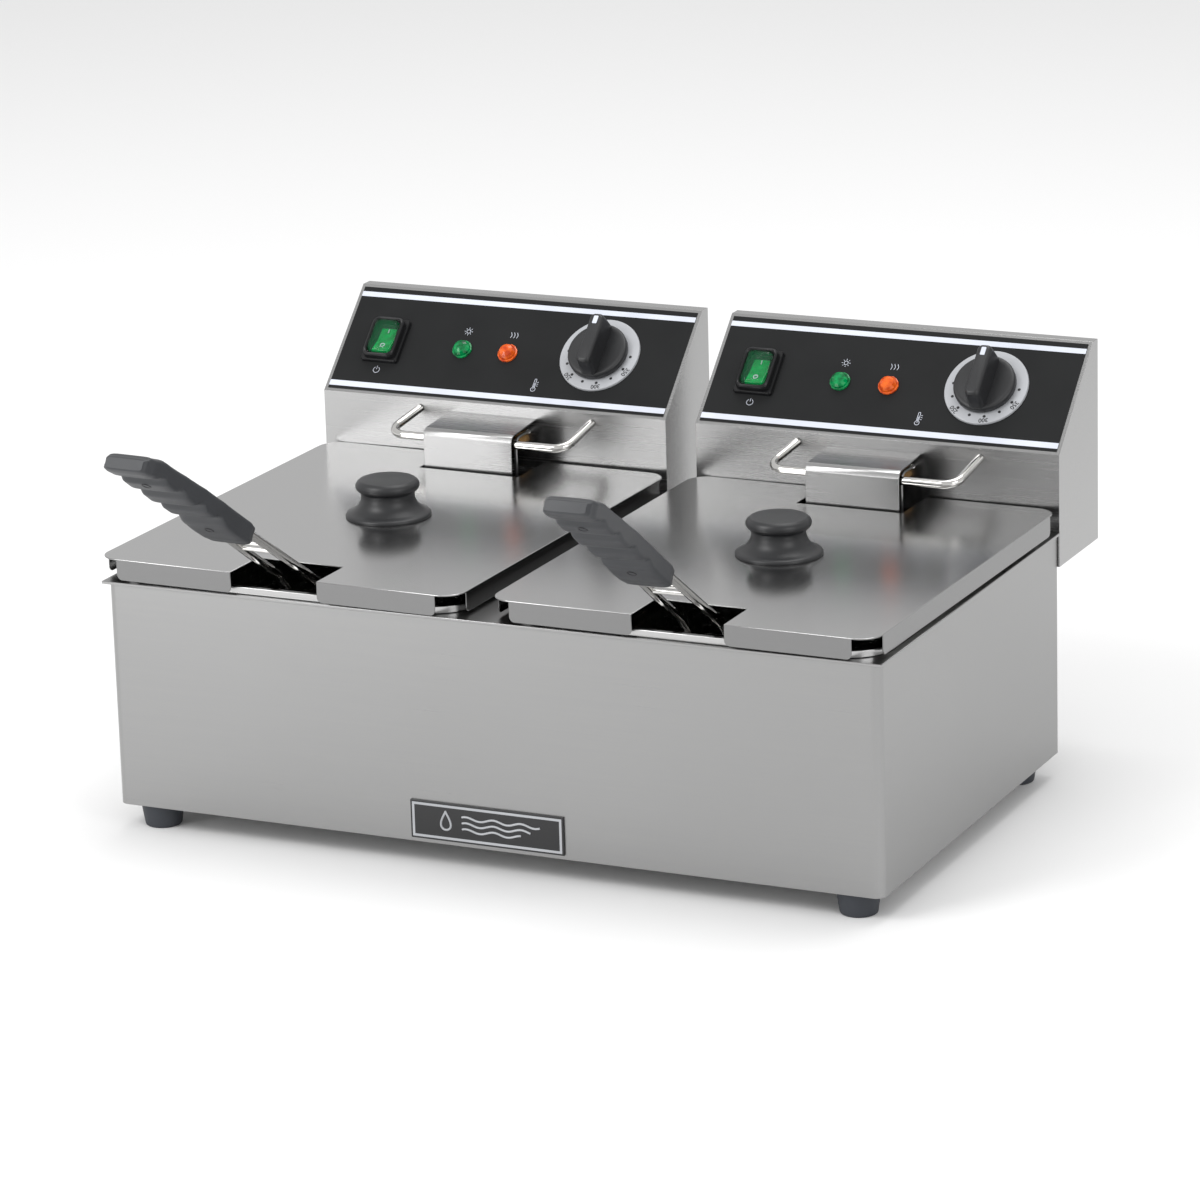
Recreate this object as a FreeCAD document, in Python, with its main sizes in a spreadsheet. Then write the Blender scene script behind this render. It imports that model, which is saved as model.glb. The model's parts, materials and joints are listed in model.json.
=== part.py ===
import FreeCAD, Part
import Sketcher
import math
import os
import re

from FreeCAD import Placement, Rotation, Vector

# Commercial double countertop deep fryer, as an assembly of separate named pieces.
#
# One steel case holds two drawn pots. Each pot has its own heating head hooked in behind it, a wire
# basket with a long handle, and a loose pressed lid. +X is right, +Y is back and +Z is up. Heights
# count from the bottom of the rubber feet. Depths in the sheet count from the front of the case, and
# every piece is then shifted so that the origin is at the middle of the whole object's footprint.

os.makedirs("parts", exist_ok=True)
doc = FreeCAD.newDocument("DeepFryer")

# Driving dimensions in millimetres: alias, value, what it is.
DIMENSIONS = [
    ("case_width", 560, "outside width of the case"),
    ("case_depth", 321, "outside depth of the case"),
    ("case_bottom", 17, "height of the case's bottom edge, which is the height of the feet"),
    ("deck_bottom", 173, "underside of the deck plate"),
    ("deck_top", 175, "top of the deck plate"),
    ("deck_overhang", 2.5, "how far the deck stands past the case"),
    ("corner_radius", 7, "bend radius of the case's front corners"),
    ("sheet_steel", 1, "thickness of the steel sheet"),
    ("bottom_steel", 1.2, "thickness of the case's bottom plate"),
    ("side_pitch", 293, "distance between the middles of the two fryers"),
    ("gap", 0.3, "running clearance between loose pieces"),
    ("foot_top_radius", 15, "rubber foot at its top"),
    ("foot_base_radius", 12.4, "rubber foot at its base"),
    ("foot_inset_side", 24, "foot axis from the case's side"),
    ("foot_inset_end", 18, "foot axis from the case's front and back"),
    ("foot_recess", 6, "radius of the recess below a foot"),
    ("foot_screw", 2.4, "radius of a foot screw's shank"),
    ("foot_screw_hole", 2.6, "radius of the holes for a foot screw"),
    ("foot_screw_head", 4.6, "radius of a foot screw's head and its nut"),
    ("vent_start", 218, "how far left of the middle a row of vents starts"),
    ("vent_length", 36, "length of a vent slot"),
    ("plate_width", 112, "width of the front nameplate"),
    ("plate_height", 26.5, "height of the front nameplate"),
    ("plate_thickness", 1.6, "thickness of the front nameplate"),
    ("plate_bottom", 20, "height of the nameplate's lower edge"),
    ("pot_half_width", 121, "outside half width of the pot's tub"),
    ("pot_front", 4, "front of the tub, outside"),
    ("pot_back", 307, "back of the tub, outside"),
    ("pot_floor", 39, "underside of the tub"),
    ("pot_corner", 28, "upright corner radius of the tub"),
    ("pot_heel", 12, "radius between the tub's walls and floor"),
    ("pot_clearance", 2, "gap between the tub and its hole in the deck"),
    ("rim_half_width", 131, "half width of the pot's rim"),
    ("rim_front", 1, "front of the rim"),
    ("rim_back", 315.5, "back of the rim"),
    ("rim_top", 180, "top of the rim"),
    ("rim_corner", 30, "corner radius of the rim"),
    ("lid_width", 272, "width of the lid"),
    ("lid_depth", 324.5, "depth of the lid"),
    ("lid_front", -4, "front edge of the lid"),
    ("lid_top", 191.5, "top face of the lid"),
    ("lid_flange_bottom", 177, "lower edge of the lid's front and side flanges"),
    ("lid_flange_corner", 4, "radius at the lower ends of the lid's flanges"),
    ("lid_corner", 15, "corner radius of the lid"),
    ("lid_open_corner", 15.5, "length of each side left without a flange at a corner"),
    ("notch_width", 65, "width of the handle's notch in the lid"),
    ("notch_depth", 38, "depth of the handle's notch"),
    ("back_notch_width", 78, "width of the lid's notch for the element cover"),
    ("back_notch_depth", 43.5, "depth of the lid's notch for the element cover"),
    ("knob_skirt", 29.5, "skirt radius of the lid's knob"),
    ("knob_waist", 18.5, "waist radius of the lid's knob"),
    ("knob_crown", 22, "top radius of the lid's knob"),
    ("knob_rise", 26, "height of the lid's knob"),
    ("knob_screw_bore", 3, "radius of the lid's hole for the knob's screw"),
    ("head_width", 270, "width of a heating head"),
    ("head_front", 322, "front face of a head"),
    ("head_back", 399, "back face of a head"),
    ("head_bottom", 150, "bottom of a head, which hangs behind the case"),
    ("fold_height", 229, "height where the front face folds into the sloped panel"),
    ("crest_front", 389.4, "where the sloped panel ends at the top"),
    ("crest_height", 292.5, "top of a head"),
    ("panel_edge", 2.5, "bare steel round the control label"),
    ("label_thickness", 0.4, "thickness of the control label"),
    ("switch_across", -99.6, "switch, across the panel from its middle"),
    ("switch_up", 44.8, "switch, up the panel from the fold"),
    ("bezel_half_width", 14.5, "half width of the switch's bezel"),
    ("bezel_half_height", 18, "half height of the switch's bezel"),
    ("barrel_half_width", 10.9, "half width of the switch behind the panel"),
    ("barrel_half_height", 15.4, "half height of the switch behind the panel"),
    ("barrel_gap", 0.3, "clearance round the switch in its cut-out"),
    ("boot_half_width", 10.4, "half width of the clear boot"),
    ("boot_half_height", 16.2, "half height of the clear boot"),
    ("boot_rise", 6.6, "height of the clear boot over the bezel"),
    ("rocker_half_height", 12.6, "half height of the rocker"),
    ("rocker_width", 13.6, "width of the rocker"),
    ("rocker_tilt", 9, "how far the rocker is tipped, in degrees"),
    ("rocker_axis", -3, "rocker's axle, out of the panel"),
    ("green_across", -38, "green pilot light, across the panel"),
    ("orange_across", -1.8, "orange pilot light, across the panel"),
    ("pilot_up", 43.3, "pilot lights, up the panel"),
    ("pilot_barrel", 4.9, "radius of a pilot light's barrel"),
    ("pilot_lens", 7.4, "radius of a pilot light's lens"),
    ("dial_across", 69.5, "thermostat dial, across the panel"),
    ("dial_up", 48, "thermostat dial, up the panel"),
    ("dial_radius", 30, "outside radius of the dial's ring"),
    ("dial_knob_radius", 22, "radius of the thermostat knob's disc"),
    ("dial_knob_rise", 25, "height of the thermostat knob's bar"),
    ("bush_radius", 4, "radius of the thermostat's bush"),
    ("bulb_across", 54, "sensing bulb, across the pot"),
    ("bulb_height", 61, "height of the sensing bulb"),
    ("bulb_radius", 3, "radius of the sensing bulb"),
    ("bulb_length", 110, "length of the sensing bulb"),
    ("capillary_across", 28, "capillary, across the head"),
    ("capillary_height", 212, "height where the capillary leaves the head"),
    ("capillary_depth", 301, "depth of the capillary's upright run"),
    ("element_radius", 4, "radius of the heating element's tube"),
    ("element_half_pitch", 18, "half the distance between the element's legs"),
    ("element_leg", 299, "depth of the element's upright legs"),
    ("element_floor", 51, "height of the element's loops"),
    ("element_entry", 204, "height where the element leaves the head"),
    ("element_bend", 13, "bend radius of the element"),
    ("loop_outside", 90, "half width of the element's outer loop"),
    ("loop_inside", 38, "half distance between the element's inner legs"),
    ("loop_front", 60, "front of the element's loops"),
    ("loop_back", 262, "back of the element's loops"),
    ("loop_return", 214, "back of the element's inner legs"),
    ("leg_nut", 7.4, "radius of the brass nuts on the element's legs"),
    ("leg_nut_length", 7, "length of the brass nuts"),
    ("cover_half_width", 34.5, "half width of the element cover"),
    ("cover_front", 280, "front of the element cover"),
    ("cover_front_top", 219, "height of the element cover's front bend"),
    ("cover_back_top", 221.5, "height where the element cover meets the head"),
    ("cover_bottom", 152, "bottom of the element cover"),
    ("hanger_radius", 3, "radius of the basket hanger's rod"),
    ("hanger_half_width", 70, "half the hanger's width at its bar"),
    ("hanger_front", 286, "depth of the hanger's bar"),
    ("hanger_height", 211.5, "height of the hanger's bar"),
    ("hanger_root", 222, "height where the hanger meets the head"),
    ("hanger_shift", 10, "how far the hanger's middle is to the right of the head's"),
    ("hanger_splay", 2.4, "how far each end of the hanger is inside its bar's end"),
    ("hanger_lean", 7, "how far the hanger's bar leans to the left of its ends"),
    ("hanger_bend", 11, "bend radius of the hanger"),
    ("basket_half_width", 98, "outside half width of the basket's mesh"),
    ("basket_front", 44, "front of the basket's mesh"),
    ("basket_back", 236, "back of the basket's mesh"),
    ("basket_bottom", 70, "bottom of the basket's mesh"),
    ("basket_top", 164, "top of the basket's mesh"),
    ("basket_corner", 16, "corner radius of the basket"),
    ("basket_wall", 1.2, "thickness of the basket's mesh"),
    ("frame_radius", 2.4, "radius of the basket's frame rods"),
    ("rod_radius", 3, "radius of the handle's rods"),
    ("rod_half_pitch_basket", 14.5, "half the rods' spacing at the basket"),
    ("rod_half_pitch_grip", 13, "half the rods' spacing at the grip"),
    ("rod_bend", 7, "bend radius of the handle's rods"),
    ("rod_insert", 30, "how far the rods run into the grip"),
    ("cross_radius", 1.6, "radius of the wires across the handle's rods"),
    ("grip_start_depth", -52, "depth of the grip's lower end"),
    ("grip_start_height", 234.2, "height of the grip's lower end"),
    ("grip_slope", 34.4, "slope of the grip, in degrees"),
    ("grip_length", 148, "length of the grip"),
    ("grip_width", 35.5, "width of the grip"),
    ("handle_pivot", 25, "depth of the upright line that a handle is turned about"),
    ("reset_across", 70, "reset button, across the head"),
    ("reset_height", 215, "reset button's height"),
    ("reset_radius", 4.2, "radius of the reset button"),
    ("reset_hole", 5.6, "radius of the hole round the reset button"),
    ("cover_screw", 1.6, "radius of the back cover's screws"),
    ("cover_screw_hole", 1.9, "radius of the holes for the back cover's screws"),
    ("gland_across", -95, "cable gland, across the head"),
    ("gland_height", 172, "cable gland's height"),
    ("gland_barrel", 7, "radius of the cable gland's barrel"),
    ("gland_hole", 7.2, "radius of the hole for the cable gland"),
    ("gland_cap", 10, "radius of the cable gland's cap"),
    ("cable_bore", 4.2, "radius of the cable gland's bore"),
    ("left_handle_turn", -2.9, "how far the left handle is turned, in degrees"),
    ("right_handle_turn", 0.9, "how far the right handle is turned, in degrees"),
    ("left_lid_turn", -1.1, "how far the left lid lies turned, in degrees"),
    ("left_lid_shift_x", 0, "how far the left lid lies to the right of its pot's middle"),
    ("left_lid_shift_y", -1.3, "how far the left lid lies back from its drawn place"),
    ("right_lid_turn", -0.6, "how far the right lid lies turned, in degrees"),
    ("right_lid_shift_x", -2, "how far the right lid lies to the right of its pot's middle"),
    ("right_lid_shift_y", -0.6, "how far the right lid lies back from its drawn place"),
    ("origin_depth", 114.6, "depth of the whole object's middle behind the case's front"),
]

sheet = doc.addObject("Spreadsheet::Sheet", "Sizes")
for row, (alias, value, note) in enumerate(DIMENSIONS, start=1):
    sheet.set(f"A{row}", note)
    sheet.set(f"B{row}", str(value))
    sheet.setAlias(f"B{row}", alias)
doc.recompute()

ALIASES = {alias for alias, _, _ in DIMENSIONS}
SOLIDS = {}


def size(text):
    """The value of an expression written with the sheet's aliases."""
    return float(sheet.evalExpression(scoped(text)))


def scoped(text):
    """An expression with the sheet's name in front of each of its aliases."""
    return re.sub(r"[a-z_]+", lambda word: "Sizes." + word[0] if word[0] in ALIASES else word[0], str(text))


def bind(thing, **expressions):
    """Tie properties to expressions, such as Length or Placement.Base.x."""
    for name, text in expressions.items():
        thing.setExpression(name.replace("__", "."), scoped(text))


# ---------------------------------------------------------------- primitives and booleans

def box(name, low, high):
    """A Part::Box between two corners, each given as three expressions."""
    solid = doc.addObject("Part::Box", name)
    for edge, axis in zip(("Length", "Width", "Height"), range(3)):
        bind(solid, **{edge: f"({high[axis]}) - ({low[axis]})"})
    bind(solid, Placement__Base__x=low[0], Placement__Base__y=low[1], Placement__Base__z=low[2])
    return solid


AXES = {
    "x": Rotation(Vector(0, 1, 0), 90),
    "y": Rotation(Vector(1, 0, 0), -90),
    "z": Rotation(),
}


def cylinder(name, radius, length, start, axis="z"):
    """A Part::Cylinder that starts at a point and runs along +X, +Y or +Z."""
    solid = doc.addObject("Part::Cylinder", name)
    solid.Placement = Placement(Vector(), AXES[axis])
    bind(solid, Radius=radius, Height=length)
    bind(solid, Placement__Base__x=start[0], Placement__Base__y=start[1], Placement__Base__z=start[2])
    return solid


def hexagon(name, radius, length, start, axis="y"):
    """A Part::Prism with six sides, for nuts."""
    solid = doc.addObject("Part::Prism", name)
    solid.Polygon = 6
    solid.Placement = Placement(Vector(), AXES[axis])
    bind(solid, Circumradius=radius, Height=length)
    bind(solid, Placement__Base__x=start[0], Placement__Base__y=start[1], Placement__Base__z=start[2])
    return solid


def fuse(name, solids):
    joined = doc.addObject("Part::MultiFuse", name)
    joined.Shapes = solids
    return joined


def cut(name, base, tools):
    """Base less one or more tools."""
    result = doc.addObject("Part::Cut", name)
    result.Base = base
    result.Tool = tools[0] if len(tools) == 1 else fuse(name + "_tools", tools)
    return result


def group(name, solids):
    """Separate solids that share one node, such as a set of screws."""
    together = doc.addObject("Part::Compound", name)
    together.Links = solids
    return together


def upright(edge):
    """True for an edge that runs along Z."""
    ends = [vertex.Point for vertex in edge.Vertexes]
    return len(ends) == 2 and (ends[1] - ends[0]).cross(Vector(0, 0, 1)).Length < 1e-6


def at_height(level):
    """A test for edges that lie wholly at one height."""
    return lambda edge: all(abs(vertex.Z - level) < 1e-6 for vertex in edge.Vertexes)


def rounded(name, solid, radius, picks):
    """A Part::Fillet on the edges that picks accepts."""
    doc.recompute()
    chosen = [i for i, edge in enumerate(solid.Shape.Edges, start=1) if picks(edge)]
    fillet = doc.addObject("Part::Fillet", name)
    fillet.Base = solid
    fillet.Edges = [(i, radius, radius) for i in chosen]
    return fillet


def rounded_box(name, low, high, corner, heel=None):
    """A box with rounded upright corners and, if a heel is given, a rounded bottom."""
    solid = rounded(name + "_corners", box(name + "_block", low, high), size(corner), upright)
    if heel is None:
        return solid
    return rounded(name + "_heel", solid, size(heel), at_height(size(low[2])))


# ---------------------------------------------------------------- sketched bodies

def origin_feature(body, role):
    return next(feature for feature in body.Origin.OriginFeatures if feature.Role == role)


def outline(body, name, plane, points):
    """A closed outline on one of the body's own planes, each corner tied to two expressions."""
    sketch = body.newObject("Sketcher::SketchObject", name)
    sketch.AttachmentSupport = (origin_feature(body, plane), [""])
    sketch.MapMode = "FlatFace"
    values = [Vector(size(a), size(b), 0) for a, b in points]
    for start, end in zip(values, values[1:] + values[:1]):
        sketch.addGeometry(Part.LineSegment(start, end))
    count = len(values)
    for i in range(count):
        sketch.addConstraint(Sketcher.Constraint("Coincident", i, 2, (i + 1) % count, 1))
    for i, corner in enumerate(points):
        for kind, expression, value in zip(("DistanceX", "DistanceY"), corner, values[i]):
            index = sketch.addConstraint(Sketcher.Constraint(kind, -1, 1, i, 1, value))
            sketch.setExpression(f"Constraints[{index}]", scoped(expression))
    return sketch


def pad(body, name, sketch, length, both_ways=False):
    """A Pad, straight off the sketch's plane or half of it to each side."""
    feature = body.newObject("PartDesign::Pad", name)
    feature.Profile = sketch
    feature.Midplane = both_ways
    bind(feature, Length=length)
    return feature


def pocket(body, name, sketch, length, both_ways=False):
    """A Pocket. It must take material away, so the volume is compared."""
    doc.recompute()
    before = body.Shape.Volume
    feature = body.newObject("PartDesign::Pocket", name)
    feature.Profile = sketch
    feature.Midplane = both_ways
    feature.Reversed = not both_ways
    bind(feature, Length=length)
    doc.recompute()
    if body.Shape.Volume > before - 1e-6:
        raise ValueError(f"{body.Label}: {name} cuts nothing")
    return feature


def turned(label, points):
    """A body turned about its own Z axis from an outline of radius and height pairs."""
    body = doc.addObject("PartDesign::Body", label)
    feature = body.newObject("PartDesign::Revolution", label + "_turning")
    feature.Profile = outline(body, label + "_profile", "XZ_Plane", points)
    feature.ReferenceAxis = (origin_feature(body, "Z_Axis"), [""])
    feature.Angle = 360
    return body


def extruded(label, plane, points, length, both_ways=True):
    """A body padded from one outline."""
    body = doc.addObject("PartDesign::Body", label)
    pad(body, label + "_pad", outline(body, label + "_outline", plane, points), length, both_ways)
    return body


# ---------------------------------------------------------------- bent rods

def bent_path(points, bend, closed=False):
    """Straight runs through the points, joined by arcs of one bend radius."""
    count = len(points)
    corners = range(count) if closed else range(1, count - 1)
    trims = {}
    for i in corners:
        here = points[i]
        back = (points[i - 1] - here).normalize()
        ahead = (points[(i + 1) % count] - here).normalize()
        half = back.getAngle(ahead) / 2
        middle = here + (back + ahead).normalize() * (bend / math.sin(half) - bend)
        trims[i] = (here + back * (bend / math.tan(half)), middle, here + ahead * (bend / math.tan(half)))
    edges = []
    for i in range(count if closed else count - 1):
        following = (i + 1) % count
        start = trims[i][2] if i in trims else points[i]
        end = trims[following][0] if following in trims else points[following]
        if (end - start).Length > 1e-6:
            edges.append(Part.LineSegment(start, end).toShape())
        if following in trims:
            edges.append(Part.Arc(*trims[following]).toShape())
    return Part.Wire(edges)


def bent_rod(points, radius, bend, closed=False):
    """A round rod swept along a bent path, checked against section times length."""
    path = bent_path([Vector(*point) for point in points], bend, closed)
    first = path.OrderedEdges[0]
    start = first.valueAt(first.FirstParameter)
    section = Part.Wire(Part.makeCircle(radius, start, first.tangentAt(first.FirstParameter)))
    rod = path.makePipeShell([section], True, True)
    if abs(rod.Volume / (math.pi * radius ** 2 * path.Length) - 1) > 0.01:
        raise ValueError("a bent rod lost its section")
    return rod


def shaped(name, shape):
    """A Part::Feature, for swept rods that no parametric feature makes as simply."""
    feature = doc.addObject("Part::Feature", name)
    feature.Shape = shape
    return feature


# ---------------------------------------------------------------- naming and placing

def node(label, thing, place=Placement()):
    """Name a finished sub-part and move it from its building place to its place in the object."""
    shift = Placement(Vector(0, -size("origin_depth"), 0), Rotation())
    thing.Label = label
    thing.Placement = shift.multiply(place).multiply(thing.Placement)
    SOLIDS[label] = thing


def moved(x=0, y=0, z=0):
    return Placement(Vector(x, y, z), Rotation())


def turned_about(depth, degrees):
    """A turn about an upright line at a depth."""
    return Placement(Vector(), Rotation(Vector(0, 0, 1), degrees), Vector(0, depth, 0))


# ---------------------------------------------------------------- the case

def corners_of_case():
    """The four feet's axes, as pairs of expressions."""
    across = "case_width / 2 - foot_inset_side"
    depths = ("foot_inset_end", "case_depth - foot_inset_end")
    return [(f"{sign} * ({across})", depth) for sign in (-1, 1) for depth in depths]


def case_shell():
    half = "case_width / 2"
    outer = rounded_box("shell_outside", (f"-{half}", 0, "case_bottom"), (half, "case_depth", "deck_bottom"),
                        "corner_radius")
    inner = rounded_box("shell_inside", (f"-({half} - sheet_steel)", "sheet_steel", 0),
                        (f"{half} - sheet_steel", "case_depth + 20", "deck_top"), "corner_radius - sheet_steel")
    back = box("shell_back_gap", (f"-({half} - sheet_steel)", "case_depth - 20", 0),
               (f"{half} - sheet_steel", "case_depth + 1", "deck_top"))
    square = box("shell_back_square", (f"-{half}", "case_depth - 10", "case_bottom"),
                 (half, "case_depth", "deck_bottom"))
    node("case_shell", cut("case_shell_sheet", fuse("shell_blank", [outer, square]), [inner, back]))


def slots(name, count, pitch, low, high, along):
    """Cutters for a row of slots, each a copy of the first moved along X or Z."""
    cutters = []
    for i in range(count):
        shift = [f" + {i * pitch}" if axis == along else "" for axis in range(3)]
        corners = [[f"{value}{shift[axis]}" for axis, value in enumerate(corner)] for corner in (low, high)]
        cutters.append(box(f"{name}_{i}", *corners))
    return cutters


def back_panel():
    half = "case_width / 2 - sheet_steel"
    panel = box("back_blank", (f"-({half})", "case_depth - sheet_steel", "case_bottom + bottom_steel"),
                (half, "case_depth", "deck_bottom"))
    vents = slots("back_vent", 9, 50, ("-vent_start", "case_depth - 5", 60),
                  ("-vent_start + vent_length", "case_depth + 5", 66), 0)
    node("back_panel", cut("back_sheet", panel, vents))


def bottom_plate():
    half = "case_width / 2 - sheet_steel"
    plate = box("bottom_blank", (f"-({half})", "sheet_steel", "case_bottom"),
                (half, "case_depth", "case_bottom + bottom_steel"))
    plate = rounded("bottom_corners", plate, size("corner_radius"),
                    lambda edge: upright(edge) and edge.Vertexes[0].Y < 10)
    holes = [cylinder(f"foot_hole_{i}", "foot_screw_hole", 10, (x, y, "case_bottom - 5"))
             for i, (x, y) in enumerate(corners_of_case())]
    vents = slots("bottom_vent", 9, 50, ("-vent_start", 120, 0), ("-vent_start + vent_length", 200, 30), 0)
    node("bottom_plate", cut("bottom_sheet", plate, holes + vents))


def top_deck():
    half = "case_width / 2 + deck_overhang"
    plate = box("deck_blank", (f"-({half})", "-deck_overhang", "deck_bottom"),
                (half, "case_depth", "deck_top"))
    half_hole = "pot_half_width + pot_clearance"
    holes = []
    for side in (-1, 1):
        middle = f"{side} * side_pitch / 2"
        holes.append(rounded_box(f"deck_hole_{side}",
                                 (f"{middle} - ({half_hole})", "pot_front - pot_clearance", 0),
                                 (f"{middle} + {half_hole}", "pot_back + pot_clearance", 300),
                                 "pot_corner"))
    node("top_deck", cut("deck_sheet", plate, holes))


def nameplate():
    """A plate with an eased front edge, glued low on the case's front."""
    plate = box("badge", ("-plate_width / 2", "-plate_thickness", "plate_bottom"),
                ("plate_width / 2", 0, "plate_bottom + plate_height"))
    front = -size("plate_thickness")
    node("nameplate", rounded("badge_eased", plate, 0.4, lambda edge: edge.BoundBox.YMax < front + 0.01))


def feet():
    """Tapered rubber feet, each recessed below for a screw that also holds the bottom plate."""
    rubbers = []
    screws = []
    for i, (x, y) in enumerate(corners_of_case()):
        cone = doc.addObject("Part::Cone", f"foot_{i}")
        bind(cone, Radius1="foot_base_radius", Radius2="foot_top_radius", Height="case_bottom")
        bind(cone, Placement__Base__x=x, Placement__Base__y=y)
        edge = rounded(f"foot_edge_{i}", cone, 1.5, at_height(0))
        recess = cylinder(f"foot_recess_{i}", "foot_recess", 7, (x, y, -1))
        hole = cylinder(f"foot_bore_{i}", "foot_screw_hole", 30, (x, y, -1))
        rubbers.append(cut(f"foot_rubber_{i}", edge, [recess, hole]))
        head = cylinder(f"screw_head_{i}", "foot_screw_head", 2.6, (x, y, 3.4))
        shank = cylinder(f"screw_shank_{i}", "foot_screw", 18, (x, y, 5))
        nut = hexagon(f"screw_nut_{i}", "foot_screw_head", 3.2, (x, y, "case_bottom + bottom_steel"), "z")
        screws.append(fuse(f"foot_screw_{i}", [head, shank, nut]))
    node("rubber_feet", group("foot_set", rubbers))
    node("foot_screws", group("foot_screw_set", screws))


# ---------------------------------------------------------------- one fryer: pot and lid

def pot(side, place):
    """A drawn tub hung by a turned-down rim that stands on the deck."""
    name = f"pot_{side}"
    tub = rounded_box(name + "_outside", ("-pot_half_width", "pot_front", "pot_floor"),
                      ("pot_half_width", "pot_back", "rim_top"), "pot_corner", "pot_heel")
    rim = rounded_box(name + "_rim", ("-rim_half_width", "rim_front", "deck_top + gap"),
                      ("rim_half_width", "rim_back", "rim_top"), "rim_corner")
    under = rounded_box(name + "_rim_under", ("-rim_half_width + sheet_steel", "rim_front + sheet_steel", 0),
                        ("rim_half_width - sheet_steel", "rim_back - sheet_steel", "rim_top - sheet_steel"),
                        "rim_corner - sheet_steel")
    inside = rounded_box(name + "_inside",
                         ("-pot_half_width + sheet_steel", "pot_front + sheet_steel", "pot_floor + sheet_steel"),
                         ("pot_half_width - sheet_steel", "pot_back - sheet_steel", "rim_top + 30"),
                         "pot_corner - sheet_steel", "pot_heel - sheet_steel")
    flange = cut(name + "_flange", rim, [under])
    node(name, cut(name + "_drawn", fuse(name + "_blank", [tub, flange]), [inside]), place)


def flange(name, low, high):
    """A thin upright strip whose two lower corners are rounded."""
    strip = box(name, low, high)
    level = size(low[2])
    thickness = size("sheet_steel")
    return rounded(name + "_eased", strip, size("lid_flange_corner"),
                   lambda edge: at_height(level)(edge) and abs(edge.Length - thickness) < 1e-6)


def lid_plate(side, place):
    """A pressed plate with a flange on each side between its open corners, and two notches."""
    name = f"lid_{side}"
    half = "lid_width / 2"
    back = "lid_front + lid_depth"
    plate = rounded_box(name + "_top", (f"-{half}", "lid_front", "lid_top - sheet_steel"),
                        (half, back, "lid_top"), "lid_corner")
    reach = f"({half} - lid_open_corner)"
    opening = "lid_open_corner"
    low = "lid_flange_bottom"
    flanges = [
        flange(name + "_front_left", (f"-{reach}", "lid_front", low),
               ("-notch_width / 2", "lid_front + sheet_steel", "lid_top")),
        flange(name + "_front_right", ("notch_width / 2", "lid_front", low),
               (reach, "lid_front + sheet_steel", "lid_top")),
        flange(name + "_back", (f"-{reach}", f"{back} - sheet_steel", "rim_top + gap"),
               (reach, back, "lid_top")),
        flange(name + "_left", (f"-{half}", f"lid_front + {opening}", low),
               (f"-{half} + sheet_steel", f"{back} - {opening}", "lid_top")),
        flange(name + "_right", (f"{half} - sheet_steel", f"lid_front + {opening}", low),
               (half, f"{back} - {opening}", "lid_top")),
    ]
    notch = box(name + "_notch", ("-notch_width / 2", "lid_front - 1", 100),
                ("notch_width / 2", "lid_front + notch_depth", 300))
    back_notch = box(name + "_back_notch", ("-back_notch_width / 2", f"{back} - back_notch_depth", 100),
                     ("back_notch_width / 2", f"{back} + 1", 300))
    bore = cylinder(name + "_bore", "knob_screw_bore", 20, (0, "lid_front + lid_depth / 2", 180))
    blank = fuse(name + "_blank", [plate] + flanges)
    node(f"lid_plate_{side}", cut(name + "_pressed", blank, [notch, back_notch, bore]), place)


def lid_knob(side, place):
    """A waisted plastic knob with its screw's head under the lid."""
    knob = turned(f"lid_knob_{side}", [
        (0, -4), (5, -4), (5, -1.2), (2.8, -1.2), (2.8, 0), ("knob_skirt", 0), ("knob_skirt", 2.4),
        ("knob_waist + 4", 6), ("knob_waist", 11), ("knob_waist", 15), ("knob_crown - 1.5", 19),
        ("knob_crown", 21), ("knob_crown - 1", 24), ("knob_crown - 5", "knob_rise"), (0, "knob_rise")])
    spot = moved(0, size("lid_front + lid_depth / 2"), size("lid_top"))
    node(f"lid_knob_{side}", knob, place.multiply(spot))


# ---------------------------------------------------------------- one fryer: heating head

PANEL_RISE = size("crest_height - fold_height")
PANEL_RUN = size("crest_front - head_front")
SLOPE = math.degrees(math.atan2(PANEL_RISE, PANEL_RUN))
PANEL_LENGTH = math.hypot(PANEL_RISE, PANEL_RUN)
PANEL = Placement(Vector(0, size("head_front"), size("fold_height")), Rotation(Vector(1, 0, 0), SLOPE))


def switch_opening(name, clearance, depth):
    """A cutter round the switch's barrel, drawn on the flat panel."""
    across = f"(barrel_half_width + {clearance})"
    up = f"(barrel_half_height + {clearance})"
    return box(name, (f"switch_across - {across}", f"switch_up - {up}", -depth),
               (f"switch_across + {across}", f"switch_up + {up}", depth))


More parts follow.
